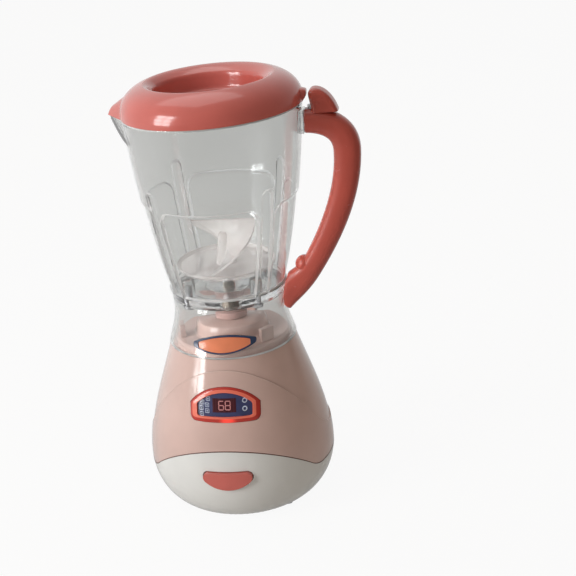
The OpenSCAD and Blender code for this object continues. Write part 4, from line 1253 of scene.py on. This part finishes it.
@dataclass
class Jug(Assembly):
    """Clear container with its skirt, screws and badge."""

    body: str = "jug"
    copies: Copies = ((SCREW, ("jug_screws",)), (BRONZE, ("rotor_bush",)))
    sides: int = 420
    wall: float = 2.2
    wall_steps: tuple[int, int] = (140, 60)
    floor_t: float = 3.0
    floor_round: float = 1.2
    edge_r: float = 0.3
    relief: float = 1.1
    relief_soft: float = 0.35
    # Band width and material indices of the painted glints on the relief's edges and of the painted highlight
    # band at the rim.
    glint_half: float = 0.5
    sheen_index: int = 1
    glint_index: int = 2
    panel_z: float = 177.5
    panel_round: float = 7.0
    pillar_w: float = 10.0
    rib_w: float = 1.9
    groove_z: float = 187.0
    groove_round: float = 0.9
    seat_from: float = 200.0
    lip_reach: float = 54.6
    lip_tip_r: float = 3.0
    lip_h: float = 13.0
    lip_in: float = 1.4
    lip_slope: float = 0.78
    dome_r: float = 13.0
    dome_h: float = 3.0
    bush_r: float = 4.55
    under_r: Point2 = (16.0, 26.0)
    screw_ring_r: float = 25.6
    boss_r: float = 3.3
    boss_h: float = 9.0
    boss_round: float = 0.5
    boss_gap: float = 0.02
    boss_sides: int = 32
    bracket: tuple[Point3, Point3] = ((45.4, -6.0, 209.3), (48.1, 6.0, 221.0))
    bracket_round: float = 0.5
    skirt_sides: int = 192
    skirt_gap: float = 0.03
    flange_t: float = 2.6
    flange_in: float = 4.2
    badge_w: float = 34.0
    badge_h: float = 9.8
    badge_z: float = 103.4
    badge_t: float = 0.8
    badge_turn: float = 2.4
    badge_x: float = 0.9
    badge_arc: float = 0.56
    badge_wide: float = 3.2
    badge_soft: float = 0.2
    badge_rim: Point2 = (0.8, 2.9)
    rim_h: float = 0.4
    badge_gap: float = 0.15
    shrink: tuple[float, ...] = (0.001, 0.25, 0.5, 0.75)

    def build(self) -> None:
        """Build the clear pieces and the badge, and dress the rest."""
        self._container()
        self._skirt()
        super().build()
        self._badge()

    @property
    def floor_top(self) -> float:
        """Height of the container's floor."""
        return OUTLINE.jug_base_z + self.floor_t

    def _keep(self, r: float, z: float, angle: float) -> float:
        """Depth inside the sunk panels and grooves of the wall, negative where it keeps its full thickness.

        Args:
            r: Radius of the point.
            z: Its height.
            angle: Its direction in radians.

        Returns:
            The distance.
        """
        side = r * abs(math.sin(math.remainder(angle - math.pi / 4, math.pi / 2)))
        panel = self._corner(side - self.pillar_w / 2, self.panel_z - z, self.panel_round)
        half = self.pillar_w / 2 - self.rib_w
        groove = self._corner(half - side, self.groove_z - z, half * self.groove_round)
        return min(max(panel, groove), z - self.floor_top - 1)

    def _corner(self, across: float, below: float, round_r: float) -> float:
        """Depth inside a corner between two edges, with a rounding.

        Args:
            across: Distance inside the upright edge.
            below: Distance inside the upper edge.
            round_r: Radius of the corner.

        Returns:
            The depth, negative outside.
        """
        if across < round_r and below < round_r:
            return round_r - math.hypot(round_r - across, round_r - below)
        return min(across, below)

    def _lip(self, r: float, z: float, angle: float, depth: float) -> float:
        """Radius with the pouring lip.

        Args:
            r: Radius without the lip.
            z: Height.
            angle: Direction in radians.
            depth: Depth below the outer surface.

        Returns:
            The radius there.
        """
        low = OUTLINE.rim_z - self.lip_h
        if z <= low:
            return r
        big_r, tip_r = OUTLINE.rim_r - depth - self.lip_in, self.lip_tip_r - depth / 2
        plan = teardrop(big_r, tip_r, self.lip_reach - depth, angle - math.pi)
        root = radius_at(OUTLINE.jug(), low) - depth
        return max(r, min(plan, root + self.lip_slope * (z - low - depth)))

    def _container(self) -> None:
        """Build the container with panels, pillars, lip, floor and bosses."""
        rim_r, rim_z, top, soft = OUTLINE.rim_r, OUTLINE.rim_z, self.floor_top, self.edge_r
        outer, wall = (OUTLINE.jug(steps) for steps in self.wall_steps)
        bend = top + self.floor_round
        inner = [p for p in reversed(inset(wall, self.wall)) if bend < p[1] < rim_z - soft]
        corner = radius_at(inner[::-1], bend)
        under = [(r, OUTLINE.jug_base_z) for r in (self.bush_r, *self.under_r)]
        rim = [(rim_r, rim_z - soft), (rim_r - soft, rim_z), (rim_r - self.wall + soft, rim_z)]
        dome_z = top + self.dome_h
        floor = [(corner - 0.3, top + 0.35), (corner - self.floor_round, top), (20.0, top),
                 (self.dome_r + 0.6, top), (self.dome_r - 0.6, top + 0.5), (self.dome_r - 3, dome_z - 0.4),
                 (self.dome_r - 5, dome_z), (self.bush_r, dome_z)]
        line = under + outer[:-1] + rim + inner + floor
        outside = range(len(under), len(under) + len(outer))

        def shift(r: float, z: float, angle: float, place: int) -> Point2:
            """Move a point of the section for the relief, the lip and the raised rim."""
            share = max(0.0, (z - self.seat_from) / (rim_z - self.seat_from))
            raised = z + OUTLINE.seat_rise(angle) * share
            if place not in outside:
                return (self._lip(r, z, angle, self.wall), raised)
            mask = step(-self.relief_soft, self.relief_soft, self._keep(r, z, angle))
            return (self._lip(r - self.relief * mask, z, angle, 0.0), raised)

        shape = Shape("jug_container").add_revolved(line, self.sides, shift)
        # The rim's rounding and top get the painted highlight band.
        shape.mark(range(outside.stop - 1, outside.stop + 2), self.sides, self.sheen_index)
        # Faces on the edges of panels and grooves get the painted glint finish.
        for i in outside[:-1]:
            for k, angle in enumerate(turns(self.sides)):
                if abs(self._keep(*line[i], angle + math.pi / self.sides)) < self.glint_half:
                    shape.marks[i * self.sides + k] = self.glint_index
        for k in range(4):
            self._boss(shape, math.pi / 4 + k * math.pi / 2)
        shape.add_box(*self.bracket, self.bracket_round)
        dress(shape.build(smooth=60), self.body, [CLEAR, CLEAR_SHEEN, CLEAR_GLINT], ["jug"])

    def _boss(self, shape: Shape, angle: float) -> None:
        """Add the boss round one screw.

        Args:
            shape: Shape of the container.
            angle: Its direction in radians.
        """
        x, y, foot = polar(self.screw_ring_r, angle, self.floor_top + self.boss_gap)
        r, high, soft = self.boss_r, self.boss_h - self.boss_gap, self.boss_round
        line = [(r, 0.0), (r, high - soft), (r - soft * 0.3, high - soft * 0.3), (r - soft, high),
                (AXIS_R, high)]
        waves = [(math.cos(t), math.sin(t)) for t in turns(self.boss_sides)]
        shape.add_rings([[(x + rr * c, y + rr * s, foot + z) for c, s in waves] for rr, z in line], caps=True)

    def _skirt(self) -> None:
        """Build the flared skirt under the container."""
        top, under = OUTLINE.jug_base_z - self.skirt_gap, OUTLINE.jug_base_z - self.flange_t
        outer = OUTLINE.skirt()
        low, high = OUTLINE.shoulder_z + 0.3, under - 0.4
        inner = [p for p in reversed(inset(outer, self.wall)) if low < p[1] < high]
        hole = self.screw_ring_r - self.flange_in
        line = outer[:-1] + [(OUTLINE.jug_base_r, top), (hole + 0.3, top), (hole, top - 0.3), (hole, under),
                             (OUTLINE.waist_r - self.wall - 0.8, under)]
        line += inner + [(OUTLINE.shoulder_r - self.wall * 1.047, OUTLINE.shoulder_z)]
        shape = Shape("skirt_clear").add_revolved(line, self.skirt_sides)
        # The skirt's foot gets the painted highlight band.
        shape.mark([len(line) - 1], self.skirt_sides, self.sheen_index)
        dress(shape.build(smooth=40), self.body, [CLEAR, CLEAR_SHEEN], ["jug_skirt"])

    def _oval(self, rim: float = 0.0, end: float = 0.0) -> list[Point2]:
        """Outline of the badge, moved in.

        Args:
            rim: Distance along the two arcs.
            end: Distance at the blunt ends.

        Returns:
            The outline in X and Z.
        """
        tall = self.badge_h / 2
        arc_r = ((self.badge_w * self.badge_arc) ** 2 + tall**2) / (2 * tall)

        def inside(x: float, z: float) -> bool:
            """Test a place against the two arcs and the ends."""
            near = max(math.hypot(x, z + s * (arc_r - tall)) for s in (-1, 1))
            return near <= arc_r - rim and math.hypot(x, z) <= self.badge_w / 2 - end

        cos, sin = math.cos(math.radians(self.badge_turn)), math.sin(math.radians(self.badge_turn))
        return [(self.badge_x + x * cos - z * sin, self.badge_z + x * sin + z * cos)
                for x, z in traced(inside, (0.0, 0.0), self.badge_wide)]

    def _badge(self) -> None:
        """Build the badge with a raised dark rim round a plain field."""
        outer, inner = self._oval(), self._oval(*self.badge_rim)
        high = self.badge_t + self.rim_h
        levels = [(self._shrunk(outer, share), self.badge_gap) for share in self.shrink]
        first = len(levels)
        levels += [(outer, self.badge_gap), (outer, high - self.badge_soft),
                   (self._oval(self.badge_soft, self.badge_soft), high), (inner, high), (inner, self.badge_t)]
        levels += [(self._shrunk(inner, share), self.badge_t) for share in reversed(self.shrink)]
        shape = Shape("badge_plate")
        shape.add_rings([on_front(inset(OUTLINE.skirt(), -lift), edge) for edge, lift in levels], caps=True)
        shape.mark(range(first, first + 4), len(outer))
        dress(shape.build(smooth=30), self.body, [BADGE_FIELD, BADGE_EDGE], ["badge"])

    def _shrunk(self, edge: Sequence[Point2], share: float) -> list[Point2]:
        """Outline drawn in towards the badge's middle."""
        return [(self.badge_x + (x - self.badge_x) * share, self.badge_z + (z - self.badge_z) * share)
                for x, z in edge]


@dataclass
class Handle(Assembly):
    """Curved handle with its thumb rest."""

    body: str = "jug"
    copies: Copies = ((SCREW, ("handle_screw",)),)
    reach: float = 76.6
    thick: float = 14.6
    thick_at: tuple[Point2, ...] = ((0.44, 0.0), (0.5, 0.3), (0.46, 0.6), (0.4, 0.9), (0.16, 1.0))
    wide: float = 14.4
    wide_at: tuple[Point2, ...] = ((0.46, 0.0), (0.5, 0.3), (0.44, 0.7), (0.3, 1.0))
    soften: tuple[float, ...] = (-0.05, -0.025, 0.0, 0.025, 0.05)
    square: float = 0.8
    sides: int = 32
    drop: float = 7.6
    arm_rise: float = 0.43
    arm_pull: Point2 = (11.5, 5.0)
    arm_steps: int = 28
    side_drop: float = 24.0
    grip_pull: Point3 = (29.0, 20.0, 27.0)
    grip_steps: int = 64
    tip_z: float = 112.5
    tip_out: float = 0.8
    foot_from: Point2 = (0.82, 0.97)
    foot_grow: float = 1.5
    skin_gap: float = 0.15
    bracket_l: float = 1.8
    stop_r: float = 5.0
    stop_at: Point2 = (11.8, 23.4)
    stop_rings: int = 16
    stop_sides: int = 28
    rest_w: float = 11.0
    rest_x: float = 2.4
    rest_round: float = 2.4
    rest_steps: int = 8
    rest_curves: tuple[tuple[Curve, int], ...] = (
        (((1.3, -1.4), (1.0, 3.4), (0.0, 6.0), (0.0, 7.9)), 10),
        (((0.0, 7.9), (0.0, 9.7), (1.5, 10.8), (3.2, 10.8)), 12),
        (((3.2, 10.8), (8.0, 10.8), (12.9, 5.6), (15.0, -1.4)), 22))

    def build(self) -> None:
        """Build the handle and the thumb rest and dress the screw."""
        self._grip()
        self._thumb_rest()
        super().build()

    @property
    def arm(self) -> Point2:
        """Start of the middle line at the jug, in X and Z."""
        z = OUTLINE.rim_z - self.drop
        return (radius_at(OUTLINE.jug(), z) + self.bracket_l, z)

    @property
    def arm_top(self) -> float:
        """Height of the flat on which the thumb rest sits."""
        return OUTLINE.rim_z - self.drop + self.thick * self.arm_rise

    def _path(self) -> list[Point2]:
        """Return the middle line of the handle in X and Z."""
        start, arm_z = self.arm
        mid = self.reach - self.thick / 2
        side_z = OUTLINE.rim_z - self.side_drop
        tip = radius_at(OUTLINE.skirt(), self.tip_z) + self.tip_out
        out, down = self.arm_pull
        below, tip_x, tip_up = self.grip_pull
        arm = cubic((start, arm_z), (start + out, arm_z), (mid, arm_z - down), (mid, side_z), self.arm_steps)
        grip = cubic((mid, side_z), (mid, side_z - below), (tip + tip_x, self.tip_z + tip_up),
                     (tip, self.tip_z), self.grip_steps)
        return arm + grip[1:]

    def _grip(self) -> None:
        """Sweep a rounded section along the middle line."""
        path = self._path()
        rings = []
        for i, (x, z) in enumerate(path):
            run, rise = heading(path, i)
            share = self._share(i)
            half_t = self.thick * self._soft(self.thick_at, share)
            half_w = self.wide * self._soft(self.wide_at, share)
            ring = []
            for t in turns(self.sides):
                p = squared(math.cos(t), self.square) * half_t
                q = squared(math.sin(t), self.square) * half_w
                if p < 0:
                    p *= 1 + self.foot_grow * step(*self.foot_from, share)
                ring.append(self._outside(x - rise * p, q, min(self.arm_top, z + run * p)))
            rings.append(ring)
        shape = Shape("handle_grip").add_rings(rings, caps=True)
        self._stop(shape)
        dress(shape.build(smooth=50), self.body, [HANDLE_CORAL], ["handle"])

    def _share(self, i: int) -> float:
        """Place of a point along the handle from 0 to 1, with the arm as its first third."""
        past = i - self.arm_steps
        return i / self.arm_steps / 3 if past <= 0 else 1 / 3 + past / self.grip_steps * 2 / 3

    def _soft(self, table: Sequence[Point2], share: float) -> float:
        """Value of a table at a place, averaged over a short stretch."""
        near = [min(1.0, max(0.0, share + d)) for d in self.soften]
        return sum(radius_at(table, s) for s in near) / len(near)

    def _outside(self, x: float, y: float, z: float) -> Point3:
        """Push a point out of the jug and the skirt.

        Args:
            x: Its place along X.
            y: Its place along Y.
            z: Its height.

        Returns:
            The point, at least on the surface.
        """
        line = OUTLINE.jug() if z > OUTLINE.jug_base_z else OUTLINE.skirt()
        keep = radius_at(line, z) + self.skin_gap
        if math.hypot(x, y) < keep:
            x = math.sqrt(max(0.0, keep**2 - y * y))
        return (x, y, z)

    def _thumb_rest(self) -> None:
        """Build the fin for the thumb, with a rolled nose and rounded sides."""
        nose = self.arm[0] + self.rest_x
        edge = [self.rest_curves[0][0][0]]
        for curve, steps in self.rest_curves:
            edge += cubic(*curve, steps)[1:]
        middle = self.rest_w / 2 - self.rest_round
        rings = []
        for side in (-1, 1):
            for i in range(self.rest_steps + 1):
                lean = math.radians(90 * (i if side > 0 else i - self.rest_steps) / self.rest_steps)
                y = side * middle + self.rest_round * math.sin(lean)
                inner = self._drawn_in(edge, self.rest_round * (1 - math.cos(lean)))
                rings.append([(nose + x, y, self.arm_top + z) for x, z in inner])
        shape = Shape("thumb_fin").add_rings(rings, caps=True)
        dress(shape.build(smooth=50), self.body, [HANDLE_CORAL], ["thumb_rest"])

    def _drawn_in(self, edge: Sequence[Point2], depth: float) -> list[Point2]:
        """Outline of the thumb rest, moved in apart from its foot.

        Args:
            edge: The outline, from the foot over the nose to the far end.
            depth: Distance to the inside.

        Returns:
            The moved outline.
        """
        moved = []
        for i, (x, z) in enumerate(edge):
            run, rise = heading(edge, i)
            foot = i in (0, len(edge) - 1)
            moved.append((x + depth * rise, z if foot else z - depth * run))
        return moved

    def _stop(self, shape: Shape) -> None:
        """Add the small rounded stop on the inner side.

        Args:
            shape: Shape of the handle.
        """
        x0 = radius_at(OUTLINE.skirt(), self.tip_z) + self.stop_at[0]
        z0 = self.tip_z + self.stop_at[1]
        rings = []
        for i in range(1, self.stop_rings):
            a = math.pi * i / self.stop_rings
            r, z = self.stop_r * math.sin(a), z0 - self.stop_r * math.cos(a)
            rings.append([(x0 + r * math.cos(t), r * math.sin(t), z) for t in turns(self.stop_sides)])
        shape.add_rings(rings, caps=True)


@dataclass
class Rotor(Assembly):
    """Shaft, coupling, collar and swirl rotor in the jug."""

    body: str = "rotor"
    copies: Copies = (
        (STEEL, ("rotor_shaft",)), (COUPLING_PINK, ("driven_coupling",)), (STEEL, ("shaft_collar",)))
    vane_smooth: float = 40.0

    def build(self) -> None:
        """Dress the shaft's pieces and the swirl rotor."""
        super().build()
        dress(node_copy("swirl_rotor", self.vane_smooth), self.body, [CLEAR_ROTOR], ["swirl_rotor"])


@dataclass
class Lid(Assembly):
    """Lid with its finger dish and a beak over the pouring lip."""

    body: str = "lid"
    rim_r: float = 47.9
    low_z: float = 223.1
    height: float = 16.8
    wall: float = 2.0
    dish_r: float = 30.0
    dish_depth: float = 13.6
    flat_r: float = 16.0
    crest_r: float = 34.4
    side_steps: int = 54
    lip_steps: int = 14
    fall_steps: int = 8
    fall: Curve = ((-0.2, -2.9), (-0.8, -3.5), (-1.1, -4.4), (-1.3, -6.0))
    hollow: Curve = ((-1.9, 2.6), (-2.3, 0.4), (-3.4, 0.0), (-5.6, 0.0))
    plug_r: float = 44.5
    plug_h: float = 1.6
    overlap: float = 0.5
    edge_in: float = 0.32
    back_lip: float = 4.4
    back_turn: float = 8.0
    back_from: Point2 = (12.0, 24.0)
    tab_z: float = 1.4
    tab: tuple[tuple[float, float, float, float], ...] = (
        (44.0, 4.0, 0.6, 8.0), (47.6, 4.0, 0.6, 7.6), (49.0, 3.7, 2.6, 7.2), (49.6, 3.3, 3.6, 6.8),
        (49.8, 2.8, 4.2, 6.2))
    tab_sides: int = 24
    tab_square: float = 0.5
    spout_reach: float = 55.4
    spout_z: float = 0.2
    beak_turn: float = 33.5
    beak_in: float = 8.0
    tip_r: float = 3.0
    flare: float = 1.48
    lean: float = 22.0
    sides: int = 288
    crowd: float = 0.6
    halvings: int = 30

    def build(self) -> None:
        """Build the lid, its top rising towards the handle."""
        line, outer_count = self._section()
        angles = [t - self.crowd * math.sin(t - math.pi) for t in turns(self.sides)]
        rings = [[self._placed(r, z, angle, place < outer_count) for angle in angles]
                 for place, (r, z) in enumerate(line)]
        shape = Shape("lid_cover").add_rings(rings, closed_path=True)
        self._tab(shape)
        dress(shape.build(smooth=50), self.body, [CORAL], ["lid"])

    def _tab(self, shape: Shape) -> None:
        """Add the small wedge that points to the handle.

        Args:
            shape: Shape of the lid.
        """
        rings = []
        for x, half, low, high in self.tab:
            middle, tall = self.low_z + self.tab_z + (low + high) / 2, (high - low) / 2
            waves = [(math.cos(t), math.sin(t)) for t in turns(self.tab_sides)]
            rings.append([(x, squared(c, self.tab_square) * half, middle + squared(s, self.tab_square) * tall)
                          for c, s in waves])
        shape.add_rings(rings, caps=True)

    def _section(self) -> tuple[list[Point2], int]:
        """Section of the lid as radius and height pairs.

        Returns:
            The closed section, and how many of its first points form the outer side.
        """
        low, top, dish_r, crest = self.low_z, self.low_z + self.height, self.dish_r, self.crest_r
        dish_z = top - self.dish_depth
        foot_z = low - self.overlap
        edge_r = self.rim_r - self.edge_in
        edge = [(edge_r, foot_z), (self.rim_r - 0.1, foot_z + 0.08), (self.rim_r, foot_z + 0.25)]
        side = cubic((self.rim_r, low), (self.rim_r + 0.2, low + self.height * 0.75),
                     (crest + 2.4, top - 0.4), (crest, top), self.side_steps)
        fall = [(dish_r + dr, top + dz) for dr, dz in self.fall]
        lip = cubic((crest, top), (crest - 1.8, top), (dish_r + 1.0, top - 1.7), fall[0], self.lip_steps)
        lip += cubic(*fall, self.fall_steps)[1:]
        dish = cubic(*((dish_r + dr, dish_z + dz) for dr, dz in self.hollow), self.fall_steps)
        flat = [(self.flat_r, dish_z), (AXIS_R, dish_z)]
        hollow_z = low + self.wall + OUTLINE.seat_x
        under = [p for p in inset(side, self.wall) if p[1] > hollow_z + 0.6 and p[0] > crest + 1]
        inner_r, plug_in, plug_z = dish_r + self.wall + 1.2, self.plug_r - self.wall, low - self.plug_h
        hollow = [(AXIS_R, low), (inner_r, low), (inner_r, top - self.wall - 1), *reversed(under)]
        plug = [(self.plug_r - 0.4, hollow_z), (plug_in, hollow_z), (plug_in, plug_z), (self.plug_r, plug_z),
                (self.plug_r, low), (edge_r, low)]
        outer = edge + side
        return outer + lip[1:] + dish + flat + hollow + plug, len(outer)

    def _lean_in(self, r: float, angle: float) -> float:
        """Distance by which the dish's edge at the back is moved in.

        Args:
            r: Radius of the point.
            angle: Its direction in radians.

        Returns:
            The distance.
        """
        lip = min(1.0, (self.crest_r - r) / (self.crest_r - self.dish_r + 0.2))
        back = max(0.0, math.sin(angle + math.radians(self.back_turn)))
        return self.back_lip * back * lip * step(*self.back_from, r)

    def _placed(self, r: float, z: float, angle: float, outside: bool) -> Point3:
        """Place a point of the section in one direction.

        Args:
            r: Its radius.
            z: Its height.
            angle: The direction in radians.
            outside: Whether it lies on the outer side, which carries the beak.

        Returns:
            The point, with the lid tilted and raised as it sits on the rim.
        """
        share = min(1.0, max(0.0, (z - self.low_z) / self.height))
        if r < self.crest_r and z > self.low_z + self.wall:
            r -= self._lean_in(r, angle)
        rise, lift = OUTLINE.seat_x / OUTLINE.rim_r, OUTLINE.seat_y / OUTLINE.rim_r
        x, y, _ = polar(r, angle, z)
        zz = z + x * rise + y * lift + OUTLINE.seat * (1 - share)
        x -= (z - self.low_z) * rise
        if not outside or math.cos(angle) >= -math.cos(math.radians(self.beak_turn)):
            return (x, y, zz)
        zz = max(zz, self.low_z)
        far = self._beak(zz, angle)
        return polar(far, angle, zz) if far > math.hypot(x, y) else (x, y, zz)

    def _beak(self, z: float, angle: float) -> float:
        """Distance from the axis to the beak's surface.

        Args:
            z: Height.
            angle: Direction in radians.

        Returns:
            The distance, or zero where the beak doesn't reach.
        """
        cos, sin = math.cos(math.radians(self.lean)), math.sin(math.radians(self.lean))
        low, high = self.rim_r - self.beak_in, self.spout_reach + 2.0

        def inside(radius: float) -> bool:
            """Test a point against the rounded cone."""
            dx, dy, dz = polar(radius, angle, z - self.low_z - self.spout_z)
            dx += self.spout_reach
            along = dx * cos - dz * sin
            if along <= 0:
                return False
            away = math.hypot(dx * sin + dz * cos, dy)
            blunt = math.sqrt(1 - (1 - min(along, 1.0)) ** 2)
            return away <= (self.tip_r + self.flare * along) * blunt

        return halved(inside, low, high, self.halvings)[0] if inside(low) else 0.0


def main() -> None:
    """Build the studio and the object's sub-assemblies in order."""
    Studio().build()
    for assembly in (Base(), Display(), Button(), Drive(), MotorRotor(), Jug(), Handle(), Rotor(), Lid()):
        assembly.build()
        log.info("built %s", type(assembly).__name__)


if __name__ == "__main__":
    main()
